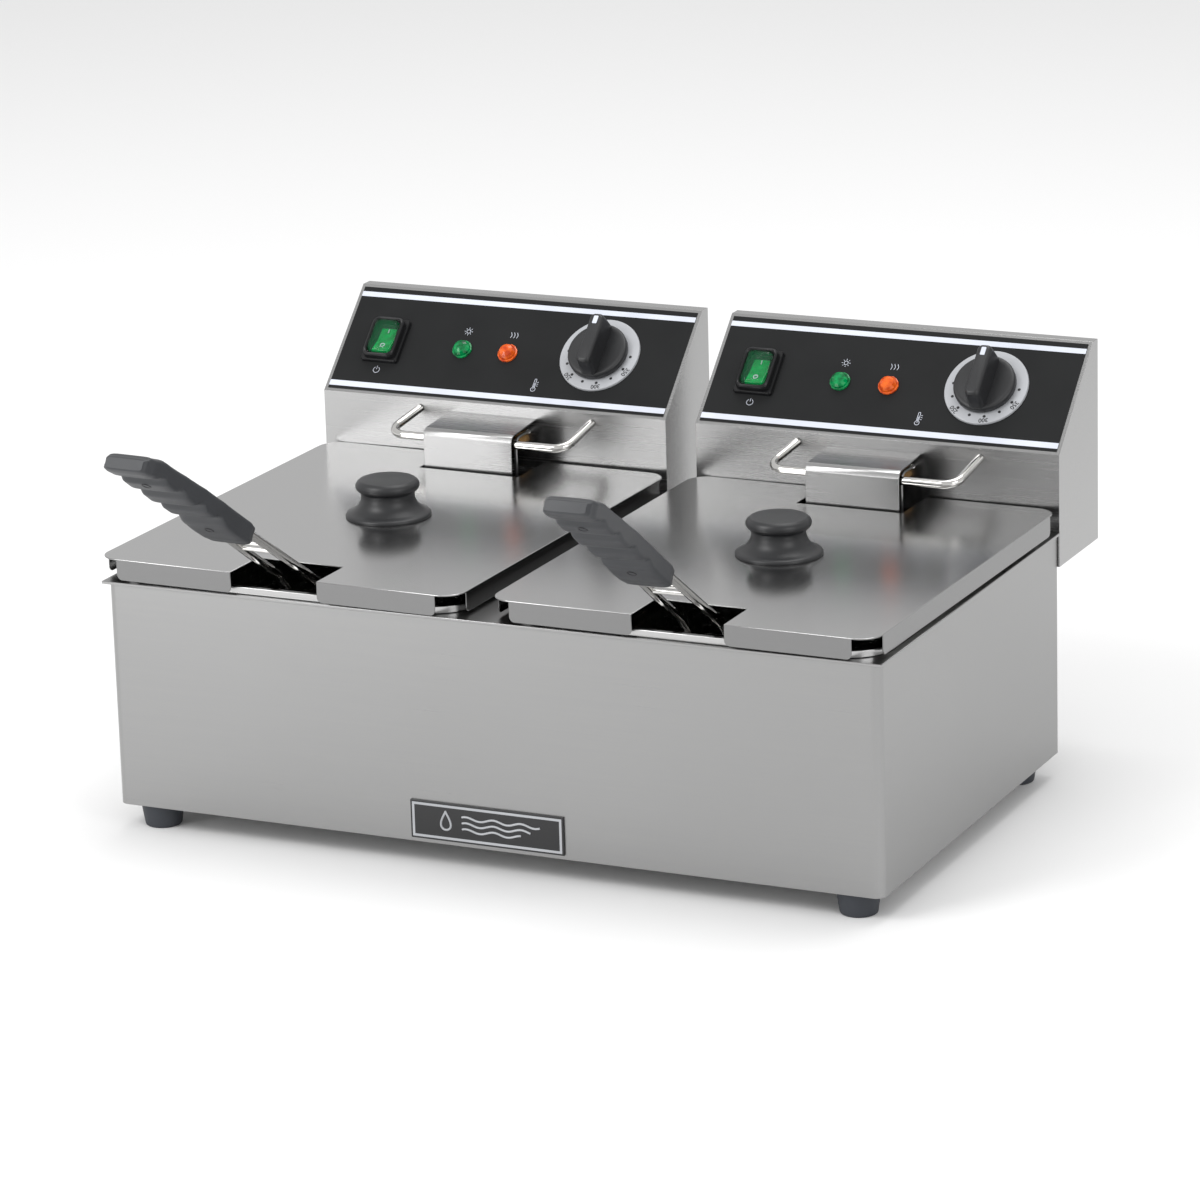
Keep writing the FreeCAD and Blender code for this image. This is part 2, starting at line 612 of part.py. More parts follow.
def head_shell(side, place):
    """The folded sheet: front face, sloped panel, top and both cheeks, with the panel's cut-outs."""
    name = f"head_{side}"
    half = "head_width / 2"
    body = doc.addObject("PartDesign::Body", name + "_folded")
    profile = [("head_front", "head_bottom"), ("head_front", "fold_height"), ("crest_front", "crest_height"),
               ("head_back", "crest_height"), ("head_back", "head_bottom")]
    pad(body, name + "_sheet", outline(body, name + "_side", "YZ_Plane", profile), "head_width", True)
    fold_step = f"sheet_steel * {math.tan(math.radians(45 - SLOPE / 2)):.6f}"
    crest_step = f"sheet_steel * {math.tan(math.radians(SLOPE / 2)):.6f}"
    inner = [("head_front + sheet_steel", "head_bottom - 5"),
             ("head_front + sheet_steel", f"fold_height - sheet_steel + {fold_step}"),
             (f"crest_front + {crest_step}", "crest_height - sheet_steel"),
             ("head_back + 5", "crest_height - sheet_steel"), ("head_back + 5", "head_bottom - 5")]
    pocket(body, name + "_hollow", outline(body, name + "_inner", "YZ_Plane", inner),
           "head_width - 2 * sheet_steel", True)
    panel_cuts = fuse(name + "_panel_cuts", [
        switch_opening(name + "_switch_cut", "barrel_gap", 8),
        cylinder(name + "_green_cut", "pilot_barrel + gap", 16, ("green_across", "pilot_up", -8)),
        cylinder(name + "_orange_cut", "pilot_barrel + gap", 16, ("orange_across", "pilot_up", -8)),
        cylinder(name + "_dial_cut", "bush_radius + 0.2", 16, ("dial_across", "dial_up", -8)),
    ])
    panel_cuts.Placement = PANEL
    leg_cuts = [cylinder(f"{name}_leg_cut_{sign}", "element_radius + gap", 20,
                         (f"{sign} * element_half_pitch", "head_front - 8", "element_entry"), "y")
                for sign in (-1, 1)]
    bulb_cut = cylinder(name + "_bulb_cut", 1.6, 20,
                        ("capillary_across", "head_front - 8", "capillary_height"), "y")
    node(f"head_shell_{side}", cut(name + "_pierced", body, [panel_cuts, bulb_cut] + leg_cuts), place)


def head_back_cover(side, place):
    """An angle that closes the head's back and bottom, pierced for the cable, reset and screws."""
    name = f"back_cover_{side}"
    reach = "head_width / 2 - sheet_steel - 0.1"
    back = box(name + "_upright", (f"-({reach})", "head_back - sheet_steel", "head_bottom"),
               (reach, "head_back", "crest_height - sheet_steel - 0.1"))
    floor = box(name + "_floor", (f"-({reach})", "head_front + sheet_steel + 0.1", "head_bottom"),
                (reach, "head_back", "head_bottom + sheet_steel"))
    holes = [
        cylinder(name + "_reset_hole", "reset_hole", 20,
                 ("reset_across", "head_back - 10", "reset_height"), "y"),
        cylinder(name + "_gland_hole", "gland_hole", 20,
                 ("gland_across", "head_back - 10", "gland_height"), "y"),
    ]
    holes += [cylinder(f"{name}_screw_hole_{i}", "cover_screw_hole", 20, (x, "head_back - 10", z), "y")
              for i, (x, z) in enumerate(cover_screws())]
    holes += slots(name + "_vent", 6, 8, (-40, "head_back - 5", 180), (40, "head_back + 5", 183), 2)
    node(f"head_back_cover_{side}", cut(name + "_bent", fuse(name + "_blank", [back, floor]), holes), place)


def cover_screws():
    return [(f"{sign} * (head_width / 2 - 12)", height) for sign in (-1, 1) for height in (162, 280)]


def head_screws(side, place):
    name = f"head_screw_{side}"
    screws = []
    for i, (x, z) in enumerate(cover_screws()):
        head = cylinder(f"{name}_head_{i}", 3.4, 1.8, (x, "head_back", z), "y")
        shank = cylinder(f"{name}_shank_{i}", "cover_screw", 10, (x, "head_back - 9", z), "y")
        screws.append(fuse(f"{name}_{i}", [head, shank]))
    node(f"head_screws_{side}", group(name + "_set", screws), place)


def control_label(side, place):
    """The printed overlay on the sloped panel, pierced for the controls."""
    name = f"label_{side}"
    film = box(name + "_film", ("-head_width / 2 + panel_edge", "panel_edge", 0),
               ("head_width / 2 - panel_edge", f"{PANEL_LENGTH:.4f} - panel_edge", "label_thickness"))
    holes = [
        switch_opening(name + "_switch", "barrel_gap + 0.2", 2),
        cylinder(name + "_green", "pilot_barrel + 0.5", 4, ("green_across", "pilot_up", -2)),
        cylinder(name + "_orange", "pilot_barrel + 0.5", 4, ("orange_across", "pilot_up", -2)),
        cylinder(name + "_dial", "bush_radius + 0.4", 4, ("dial_across", "dial_up", -2)),
    ]
    node(f"control_label_{side}", cut(name + "_pierced", film, holes), place.multiply(PANEL))


def rocker_switch(side, place):
    """A stepped housing snapped into the panel, its rocker, and the clear boot over the rocker."""
    spot = place.multiply(PANEL).multiply(moved(size("switch_across"), size("switch_up")))
    name = f"switch_{side}"
    base = "label_thickness"
    across, up = "barrel_half_width", "barrel_half_height"
    bezel = box(name + "_bezel", ("-bezel_half_width", "-bezel_half_height", base),
                ("bezel_half_width", "bezel_half_height", f"{base} + 2"))
    step = box(name + "_step", (f"-{across} - 1.3", f"-{up} - 1.2", base),
               (f"{across} + 1.3", f"{up} + 1.2", f"{base} + 3.4"))
    barrel = box(name + "_barrel", (f"-{across}", f"-{up}", -22), (across, up, f"{base} + 1"))
    well = box(name + "_well", (f"-{across} + 3.5", f"-{up} + 1", -10), (f"{across} - 3.5", f"{up} - 1", 10))
    blades = [box(f"{name}_blade_{x}_{y}", (x - 2.4, y - 0.4, -30), (x + 2.4, y + 0.4, -20))
              for x in (-5, 5) for y in (-8, 8)]
    shell = cut(name + "_shell", fuse(name + "_blank", [bezel, step, barrel]), [well])
    node(f"switch_housing_{side}", fuse(name + "_complete", [shell] + blades), spot)

    end = "rocker_half_height"
    profile = [(f"-{end}", -5), (0, -7), (end, -5), (end, 4), (0, 2.2), (f"-{end}", 4)]
    rocker = extruded(f"rocker_{side}", "YZ_Plane", profile, "rocker_width")
    tipped = Rotation(Vector(1, 0, 0), -size("rocker_tilt"))
    tilt = Placement(Vector(), tipped, Vector(0, 0, size("rocker_axis")))
    node(f"switch_rocker_{side}", rocker, spot.multiply(tilt))

    low = f"{base} + 3.4"
    high = f"{low} + boot_rise"
    wide, tall = "boot_half_width", "boot_half_height"
    block = box(name + "_dome_block", (f"-{wide}", f"-{tall}", low), (wide, tall, high))
    dome = rounded(name + "_dome", block, 3, lambda edge: upright(edge) or at_height(size(high))(edge))
    hollow = box(name + "_dome_hollow", (f"-{wide} + 1", f"-{tall} + 1", 0),
                 (f"{wide} - 1", f"{tall} - 1", f"{high} - 1"))
    node(f"switch_boot_{side}", cut(name + "_boot_film", dome, [hollow]), spot)


def pilot_light(side, place, colour):
    """A jewel lens on a threaded barrel."""
    spot = place.multiply(PANEL).multiply(moved(size(f"{colour}_across"), size("pilot_up")))
    lens = turned(f"pilot_{colour}_{side}", [
        (0, -24), ("pilot_barrel", -24), ("pilot_barrel", "label_thickness"),
        ("pilot_lens", "label_thickness"),
        ("pilot_lens", 2), ("pilot_lens - 0.8", 4.4), ("pilot_lens - 3", 6.6), (0, 7.6)])
    node(f"pilot_light_{colour}_{side}", lens, spot)


def thermostat_set(side, place):
    """The dial's ring, the thermostat behind it and the knob on its spindle."""
    spot = place.multiply(PANEL).multiply(moved(size("dial_across"), size("dial_up")))
    low = "label_thickness"
    ring = turned(f"ring_{side}", [
        (6, low), ("dial_radius", low), ("dial_radius", f"{low} + 1"), ("dial_radius - 1.6", f"{low} + 2.2"),
        ("dial_radius - 3.4", f"{low} + 1.4"), (6, f"{low} + 1.4")])
    node(f"dial_ring_{side}", ring, spot)

    knob = turned(f"knob_{side}", [
        (0, 12.5), (3.35, 12.5), (3.35, 3), ("dial_knob_radius", 3), ("dial_knob_radius", 7.5),
        ("dial_knob_radius - 1.2", 9), (7, 9), (7, 14), (0, 14)])
    bar = rounded(f"knob_bar_edge_{side}",
                  box(f"knob_bar_{side}", (-6, "-dial_knob_radius + 0.8", 8),
                      (6, "dial_knob_radius - 0.8", "dial_knob_rise")),
                  2.5, lambda edge: edge.BoundBox.ZMax > size("dial_knob_rise") - 1)
    bore = cylinder(f"knob_bore_{side}", 3.35, 14, (0, 0, -1.5))
    blank = fuse(f"knob_blank_{side}", [knob, bar])
    node(f"control_knob_{side}", cut(f"knob_whole_{side}", blank, [bore]), spot)

    case = box(f"thermo_case_{side}", (-19, -17, -28), (19, 17, -3))
    bush = cylinder(f"thermo_bush_{side}", "bush_radius", 6, (0, 0, -4))
    spindle = cylinder(f"thermo_spindle_{side}", 3, 16, (0, 0, -4))
    block = fuse(f"thermo_block_{side}", [case, bush, spindle])
    block.Placement = PANEL.multiply(moved(size("dial_across"), size("dial_up")))
    node(f"thermostat_{side}", group(f"thermo_whole_{side}", [block, sensing_bulb(side)]), place)


def sensing_bulb(side):
    """The capillary from the head down into the pot, and the sensing bulb low in the oil."""
    across, high, upright_run = (size(f"capillary_{word}") for word in ("across", "height", "depth"))
    bulb_across, low, length = (size(f"bulb_{word}") for word in ("across", "height", "length"))
    bulb_back = 216
    route = [(across, size("head_front") + 14, high), (across, upright_run, high), (across, upright_run, low),
             (bulb_across, 262, low), (bulb_across, bulb_back - 2, low)]
    capillary = bent_rod(route, 1.1, 6)
    bulb_end = Vector(bulb_across, bulb_back, low)
    bulb = Part.makeCylinder(size("bulb_radius"), length, bulb_end, Vector(0, -1, 0))
    return shaped(f"bulb_{side}", capillary.fuse(bulb).removeSplitter())


def heating_element(side, place):
    """One sheathed tube: down the back of the pot, out in loops over the floor, and back up."""
    leg = size("element_half_pitch")
    back = size("element_leg")
    top = size("element_entry")
    low = size("element_floor")
    wide, narrow = size("loop_outside"), size("loop_inside")
    loop_front, loop_back = size("loop_front"), size("loop_back")
    half = [(leg, size("head_front") + 14, top), (leg, back, top), (leg, back, low), (leg, loop_back, low),
            (wide, loop_back, low), (wide, loop_front, low), (narrow, loop_front, low),
            (narrow, size("loop_return"), low)]
    route = [(-x, y, z) for x, y, z in half] + half[::-1]
    tube = bent_rod(route, size("element_radius"), size("element_bend"))
    node(f"heating_element_{side}", shaped(f"element_{side}", tube), place)


def element_cover(side, place):
    """A bent plate that shields the element's legs and drops into the lid's back notch."""
    thickness = "sheet_steel"
    profile = [("head_front", "cover_back_top"), ("cover_front + 5", "cover_front_top"),
               ("cover_front + 1.4", "cover_front_top - 1.5"), ("cover_front", "cover_front_top - 5"),
               ("cover_front", "cover_bottom"), (f"cover_front + {thickness}", "cover_bottom"),
               (f"cover_front + {thickness}", "cover_front_top - 5.2"),
               ("cover_front + 2.2", "cover_front_top - 2.4"),
               ("cover_front + 5.2", f"cover_front_top - {thickness}"),
               ("head_front", f"cover_back_top - {thickness}")]
    cover = extruded(f"cover_{side}", "YZ_Plane", profile, "2 * cover_half_width")
    node(f"element_cover_{side}", cover, place)


def gland_nuts(side, place):
    """Brass nuts that clamp the element's legs to the head's face."""
    nuts = []
    for sign in (-1, 1):
        spot = (f"{sign} * element_half_pitch", "head_front - leg_nut_length", "element_entry")
        nut = hexagon(f"gland_nut_{side}_{sign}", "leg_nut", "leg_nut_length", spot)
        bore = cylinder(f"gland_bore_{side}_{sign}", "element_radius + 0.1", 20,
                        (spot[0], "head_front - 10", spot[2]), "y")
        nuts.append(cut(f"gland_nut_bored_{side}_{sign}", nut, [bore]))
    node(f"gland_nuts_{side}", group(f"gland_nut_set_{side}", nuts), place)


def basket_hanger(side, place):
    """A bent rod that the basket hangs on to drain."""
    half = size("hanger_half_width")
    bar = (size("hanger_front"), size("hanger_height"))
    root = (size("head_front"), size("hanger_root"))
    lean = size("hanger_lean")
    ends = half - size("hanger_splay")
    route = [(-ends, *root), (-half - lean, *bar), (half - lean, *bar), (ends, *root)]
    rod = bent_rod(route, size("hanger_radius"), size("hanger_bend"))
    behind_face = Part.makeBox(400, 20, 40, Vector(-200, root[0], root[1] - 20))
    spot = place.multiply(moved(size("hanger_shift")))
    node(f"basket_hanger_{side}", shaped(f"hanger_{side}", rod.cut(behind_face)), spot)


def head_internals(side, place):
    """Terminal block, over-temperature cut-out, its reset button and the cable gland."""
    reset = ("reset_across", "reset_height")
    gland = ("gland_across", "gland_height")
    block = box(f"terminals_{side}", (-60, 350, 152), (0, 372, 170))
    studs = [cylinder(f"terminal_stud_{side}_{i}", 2, 5, (-50 + 20 * i, 361, 169)) for i in range(3)]
    node(f"terminal_block_{side}", fuse(f"terminal_whole_{side}", [block] + studs), place)

    can = cylinder(f"cutout_can_{side}", 11, 18, (reset[0], "head_back - 22", reset[1]), "y")
    well = cylinder(f"cutout_well_{side}", "reset_radius + 0.4", 20,
                    (reset[0], "head_back - 12", reset[1]), "y")
    node(f"limit_cutout_{side}", cut(f"cutout_{side}", can, [well]), place)

    stem = cylinder(f"reset_stem_{side}", "reset_radius", 10.6, (reset[0], "head_back - 8", reset[1]), "y")
    button = rounded(f"reset_edge_{side}", stem, 0.8, lambda edge: edge.BoundBox.YMin > size("head_back") + 2)
    node(f"reset_button_{side}", button, place)

    barrel = cylinder(f"gland_barrel_{side}", "gland_barrel", 16, (gland[0], "head_back - 6", gland[1]), "y")
    cap = hexagon(f"gland_cap_{side}", "gland_cap", 8, (gland[0], "head_back", gland[1]))
    lock = hexagon(f"gland_lock_{side}", "gland_cap - 0.5", 4, (gland[0], "head_back - 5", gland[1]))
    bore = cylinder(f"cable_way_{side}", "cable_bore", 40, (gland[0], "head_back - 20", gland[1]), "y")
    blank = fuse(f"gland_blank_{side}", [barrel, cap, lock])
    node(f"cable_gland_{side}", cut(f"gland_{side}", blank, [bore]), place)


# ---------------------------------------------------------------- one fryer: basket and handle

def basket_mesh(side, place):
    """The basket's wire cloth, as a thin open box of its outer shape."""
    name = f"basket_{side}"
    outer = rounded_box(name + "_outside", ("-basket_half_width", "basket_front", "basket_bottom"),
                        ("basket_half_width", "basket_back", "basket_top"), "basket_corner", "basket_corner - 6")
    inner = rounded_box(name + "_inside",
                        ("-basket_half_width + basket_wall", "basket_front + basket_wall",
                         "basket_bottom + basket_wall"),
                        ("basket_half_width - basket_wall", "basket_back - basket_wall", "basket_top + 5"),
                        "basket_corner - basket_wall", "basket_corner - 6 - basket_wall")
    node(f"basket_mesh_{side}", cut(name + "_cloth", outer, [inner]), place)


def mouth_rod():
    """The rod round the basket's mouth, which stands just outside the mesh."""
    radius = size("frame_radius")
    out = size("basket_half_width") + radius + 0.1
    front = size("basket_front") - radius - 0.1
    back = size("basket_back") + radius + 0.1
    level = size("basket_top") - radius
    corners = [(out, front, level), (out, back, level), (-out, back, level), (-out, front, level)]
    return bent_rod(corners, radius, size("basket_corner") + radius, closed=True)


def handle(side, place, turn):
    """The frame, which is the mouth's rod, two handle rods and two cross wires, and the grip."""
    slope = math.radians(size("grip_slope"))
    lower = Vector(0, size("grip_start_depth"), size("grip_start_height"))
    along = Vector(0, -math.cos(slope), math.sin(slope))
    start = lower + along * size("rod_insert")
    leave = lower - along * 5
    rods = []
    for sign in (-1, 1):
        near = sign * size("rod_half_pitch_basket")
        far = sign * size("rod_half_pitch_grip")
        route = [(far, start.y, start.z), (far, leave.y, leave.z), (near, 24, 182.9), (near, 35.2, 172),
                 (near, 35.2, 92)]
        rods.append(bent_rod(route, size("rod_radius"), size("rod_bend")))
    reach = size("rod_half_pitch_grip")
    for step in (20, 33):
        spot = lower - along * step - Vector(reach, 0, 0)
        rods.append(Part.makeCylinder(size("cross_radius"), 2 * reach, spot, Vector(1, 0, 0)))
    whole = rods[0].multiFuse(rods[1:]).removeSplitter()
    whole.Placement = turn
    node(f"basket_frame_{side}", shaped(f"frame_{side}", Part.makeCompound([mouth_rod(), whole])), place)

    body = doc.addObject("PartDesign::Body", f"grip_body_{side}")
    profile = [(0, -6), (4, -8.5), (24, -9.6), (42, -8.8), (48, -6.6), (57, -8.8), (66, -8.8), (72, -6.8),
               (82, -10), (92, -9.4), (99, -7.6), (110, -10.3), (118, -10), (124, -8.2), (136, -10.5),
               ("grip_length - 4", -11.5), ("grip_length", -9), ("grip_length", -3.5), ("grip_length - 4", 1),
               (128, 4.5), (60, 6.5), (6, 6.5), (0, 4.5)]
    pad(body, f"grip_pad_{side}", outline(body, f"grip_side_{side}", "XZ_Plane", profile), "grip_width", True)
    sockets = [cylinder(f"grip_socket_{side}_{sign}", "rod_radius + 0.6", "rod_insert + 4",
                        (-1, f"{sign} * rod_half_pitch_grip", 0), "x")
               for sign in (-1, 1)]
    solid = cut(f"grip_whole_{side}", body, sockets)
    lean = Placement(lower, Rotation(Vector(0, 0, 1), -90)).multiply(
        Placement(Vector(), Rotation(Vector(0, 1, 0), -size("grip_slope"))))
    node(f"handle_grip_{side}", solid, place.multiply(turn).multiply(lean))


# ---------------------------------------------------------------- the whole object

case_shell()
back_panel()
bottom_plate()
top_deck()
nameplate()
feet()
for side, sign in (("left", -1), ("right", 1)):
    place = moved(sign * size("side_pitch") / 2)
    lid_shift = moved(size(f"{side}_lid_shift_x"), size(f"{side}_lid_shift_y"))
    lid_turn = turned_about(size("lid_front + lid_depth / 2"), size(f"{side}_lid_turn"))
    lid_place = place.multiply(lid_shift).multiply(lid_turn)
    handle_turn = turned_about(size("handle_pivot"), size(f"{side}_handle_turn"))
    pot(side, place)
    head_shell(side, place)
    head_back_cover(side, place)
    head_screws(side, place)
    control_label(side, place)
    rocker_switch(side, place)
    pilot_light(side, place, "green")
    pilot_light(side, place, "orange")
    thermostat_set(side, place)
    heating_element(side, place)
    element_cover(side, place)
    gland_nuts(side, place)
    basket_hanger(side, place)
    head_internals(side, place)
    basket_mesh(side, place)
    handle(side, place, handle_turn)
    lid_plate(side, lid_place)
    lid_knob(side, lid_place)

doc.recompute()
for thing in doc.Objects:
    if {"Invalid", "Error"} & set(thing.State):
        raise ValueError(f"{thing.Label} failed: {thing.State}")
whole = None
for label, thing in SOLIDS.items():
    shape = thing.Shape
    if shape.isNull() or not shape.isValid() or not shape.Solids:
        raise ValueError(f"{label} has no valid solid")
    whole = shape.BoundBox if whole is None else whole.united(shape.BoundBox)
    shape.exportStep(f"parts/{label}.step")
print(f"{len(SOLIDS)} sub-parts, X {whole.XMin:.1f} to {whole.XMax:.1f}, "
      f"Y {whole.YMin:.1f} to {whole.YMax:.1f}, Z {whole.ZMin:.1f} to {whole.ZMax:.1f}")
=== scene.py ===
# Looks for the double countertop deep fryer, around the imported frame. Lengths are in metres.

import bmesh
import bpy
import json
import math

from mathutils import Matrix, Vector


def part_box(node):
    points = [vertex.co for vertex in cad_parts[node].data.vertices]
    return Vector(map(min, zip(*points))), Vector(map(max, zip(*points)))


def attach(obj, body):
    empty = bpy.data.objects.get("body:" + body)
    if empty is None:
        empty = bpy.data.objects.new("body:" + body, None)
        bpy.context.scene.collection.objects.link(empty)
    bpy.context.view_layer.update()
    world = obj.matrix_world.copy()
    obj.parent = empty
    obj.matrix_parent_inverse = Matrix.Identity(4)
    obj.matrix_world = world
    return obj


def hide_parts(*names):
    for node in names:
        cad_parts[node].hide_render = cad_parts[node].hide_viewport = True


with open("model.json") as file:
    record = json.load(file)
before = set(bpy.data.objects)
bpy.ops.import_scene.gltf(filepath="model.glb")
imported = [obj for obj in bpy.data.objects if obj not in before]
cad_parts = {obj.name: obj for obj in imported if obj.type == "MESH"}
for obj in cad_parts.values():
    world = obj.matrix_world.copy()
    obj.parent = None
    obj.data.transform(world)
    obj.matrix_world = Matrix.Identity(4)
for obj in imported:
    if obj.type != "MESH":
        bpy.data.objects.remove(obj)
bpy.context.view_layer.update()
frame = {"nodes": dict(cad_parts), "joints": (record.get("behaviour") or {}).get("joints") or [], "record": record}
MM = 0.001
SIDES = ("left", "right")


# ---------------------------------------------------------------- measures taken from the frame

def joint(name):
    return next(j for j in frame["joints"] if j["name"] == name)


def side_middle(side):
    """X of one fryer's middle, which is its lid's hinge."""
    return joint(f"lid_tip_{side}")["pos_m"][0]


# ---------------------------------------------------------------- shader helpers

def material(name):
    made = bpy.data.materials.new(name)
    made.use_nodes = True
    made.node_tree.nodes.clear()
    output = made.node_tree.nodes.new("ShaderNodeOutputMaterial")
    shader = made.node_tree.nodes.new("ShaderNodeBsdfPrincipled")
    made.node_tree.links.new(shader.outputs["BSDF"], output.inputs["Surface"])
    return made, made.node_tree, shader


def noise(tree, scale, detail=3.0, stretch=(1, 1, 1), rough=0.5):
    """A noise texture in object space, stretched by a scale on each axis."""
    place = tree.nodes.new("ShaderNodeTexCoord")
    mapping = tree.nodes.new("ShaderNodeMapping")
    mapping.inputs["Scale"].default_value = stretch
    tree.links.new(place.outputs["Object"], mapping.inputs["Vector"])
    texture = tree.nodes.new("ShaderNodeTexNoise")
    texture.inputs["Scale"].default_value = scale
    texture.inputs["Detail"].default_value = detail
    texture.inputs["Roughness"].default_value = rough
    tree.links.new(mapping.outputs["Vector"], texture.inputs["Vector"])
    return texture.outputs["Fac"]


def spread(tree, source, low, high, start=0.3, end=0.7):
    """Map the middle of a noise onto a range of values."""
    ramp = tree.nodes.new("ShaderNodeMapRange")
    ramp.inputs["From Min"].default_value = start
    ramp.inputs["From Max"].default_value = end
    ramp.inputs["To Min"].default_value = low
    ramp.inputs["To Max"].default_value = high
    tree.links.new(source, ramp.inputs["Value"])
    return ramp.outputs["Result"]


def tint(tree, source, dark, light):
    """Blend between two colours by a value."""
    mix = tree.nodes.new("ShaderNodeMix")
    mix.data_type = "RGBA"
    mix.inputs["A"].default_value = (*dark, 1)
    mix.inputs["B"].default_value = (*light, 1)
    tree.links.new(source, mix.inputs["Factor"])
    return mix.outputs["Result"]


def bump(tree, shader, source, strength, distance):
    node = tree.nodes.new("ShaderNodeBump")
    node.inputs["Strength"].default_value = strength
    node.inputs["Distance"].default_value = distance
    tree.links.new(source, node.inputs["Height"])
    tree.links.new(node.outputs["Normal"], shader.inputs["Normal"])


# ---------------------------------------------------------------- materials

def painted_upright_shade(tree, colour, tone):
    """Painted shade: blend to a darker tone where the sheet stands upright in its own space, standing in for the
    darker surroundings that upright faces reflect.
    """
    place = tree.nodes.new("ShaderNodeTexCoord")
    split = tree.nodes.new("ShaderNodeSeparateXYZ")
    level = tree.nodes.new("ShaderNodeMath")
    level.operation = "ABSOLUTE"
    tree.links.new(place.outputs["Normal"], split.inputs["Vector"])
    tree.links.new(split.outputs["Z"], level.inputs[0])
    mix = tree.nodes.new("ShaderNodeMix")
    mix.data_type = "RGBA"
    mix.inputs["A"].default_value = (tone, tone, tone, 1)
    tree.links.new(colour, mix.inputs["B"])
    tree.links.new(spread(tree, level.outputs["Value"], 0, 1), mix.inputs["Factor"])
    return mix.outputs["Result"]


def brushed(name, tone, roughness, along="x", contrast=0.015, strength=0.006, edge=1.0):
    """Stainless sheet: fine grinding lines along one axis, faint smudges, and, where edge is below one, painted
    shade on upright faces.
    """
    made, tree, shader = material(name)
    grain = {"x": (6, 1500, 1500), "y": (1500, 6, 1500), "z": (1500, 1500, 6)}[along]
    lines = noise(tree, 1.0, 3.0, grain, 0.55)
    smudge = noise(tree, 9.0, 2.0)
    shader.inputs["Metallic"].default_value = 1.0
    dark, light = tone * (1 - contrast), tone * (1 + contrast)
    colour = tint(tree, spread(tree, lines, 0, 1), [dark] * 3, [light, light * 0.996, light * 0.99])
    # Painted shade: upright faces fade to tone times edge, standing in for the darker surroundings they reflect.
    if edge < 1:
        colour = painted_upright_shade(tree, colour, tone * edge)
    tree.links.new(colour, shader.inputs["Base Color"])
    rough = tree.nodes.new("ShaderNodeMath")
    rough.operation = "ADD"
    tree.links.new(spread(tree, lines, roughness * 0.92, roughness * 1.08), rough.inputs[0])
    tree.links.new(spread(tree, smudge, -0.008, 0.012), rough.inputs[1])
    tree.links.new(rough.outputs["Value"], shader.inputs["Roughness"])
    bump(tree, shader, lines, strength, 0.0003)
    return made


def polished(name, colour, roughness):
    """Plated or polished metal with a faint haze."""
    made, tree, shader = material(name)
    haze = noise(tree, 60.0, 3.0)
    shader.inputs["Metallic"].default_value = 1.0
    tree.links.new(tint(tree, haze, [c * 0.94 for c in colour], colour), shader.inputs["Base Color"])
    tree.links.new(spread(tree, haze, roughness * 0.7, roughness * 1.4), shader.inputs["Roughness"])
    return made


def moulded(name, colour, roughness, grain=1500.0, strength=0.25, gloss=0.5):
    """Moulded plastic or rubber with a fine spark-eroded texture and slight colour drift."""
    made, tree, shader = material(name)
    fine = noise(tree, grain, 2.0)
    drift = noise(tree, 30.0, 3.0)
    tree.links.new(tint(tree, drift, [c * 0.85 for c in colour], [min(1, c * 1.15) for c in colour]),
                   shader.inputs["Base Color"])
    tree.links.new(spread(tree, drift, roughness * 0.9, roughness * 1.1), shader.inputs["Roughness"])
    shader.inputs["Specular IOR Level"].default_value = gloss
    bump(tree, shader, fine, strength, 0.00008)
    return made


def jewel(name, deep, bright, glow):
    """A lit translucent lens: tinted, glossy, glowing a little from within."""
    made, tree, shader = material(name)
    clouds = noise(tree, 260.0, 2.0)
    colour = tint(tree, spread(tree, clouds, 0, 1), deep, bright)
    tree.links.new(colour, shader.inputs["Base Color"])
    tree.links.new(colour, shader.inputs["Emission Color"])
    shader.inputs["Emission Strength"].default_value = glow
    shader.inputs["Roughness"].default_value = 0.06
    shader.inputs["Specular IOR Level"].default_value = 0.4
    return made


def clear_film(name, colour):
    """Soft clear silicone over the rocker."""
    made, tree, shader = material(name)
    streaks = noise(tree, 300.0, 2.0)
    tree.links.new(tint(tree, streaks, [c * 0.92 for c in colour], colour), shader.inputs["Base Color"])
    shader.inputs["Roughness"].default_value = 0.08
    shader.inputs["IOR"].default_value = 1.3
    shader.inputs["Alpha"].default_value = 0.15
    shader.inputs["Coat Weight"].default_value = 1.0
    return made


def plain(name, colour, roughness):
    """An even matt surface."""
    made, _, shader = material(name)
    shader.inputs["Base Color"].default_value = (*colour, 1)
    shader.inputs["Roughness"].default_value = roughness
    shader.inputs["Specular IOR Level"].default_value = 0.1
    return made


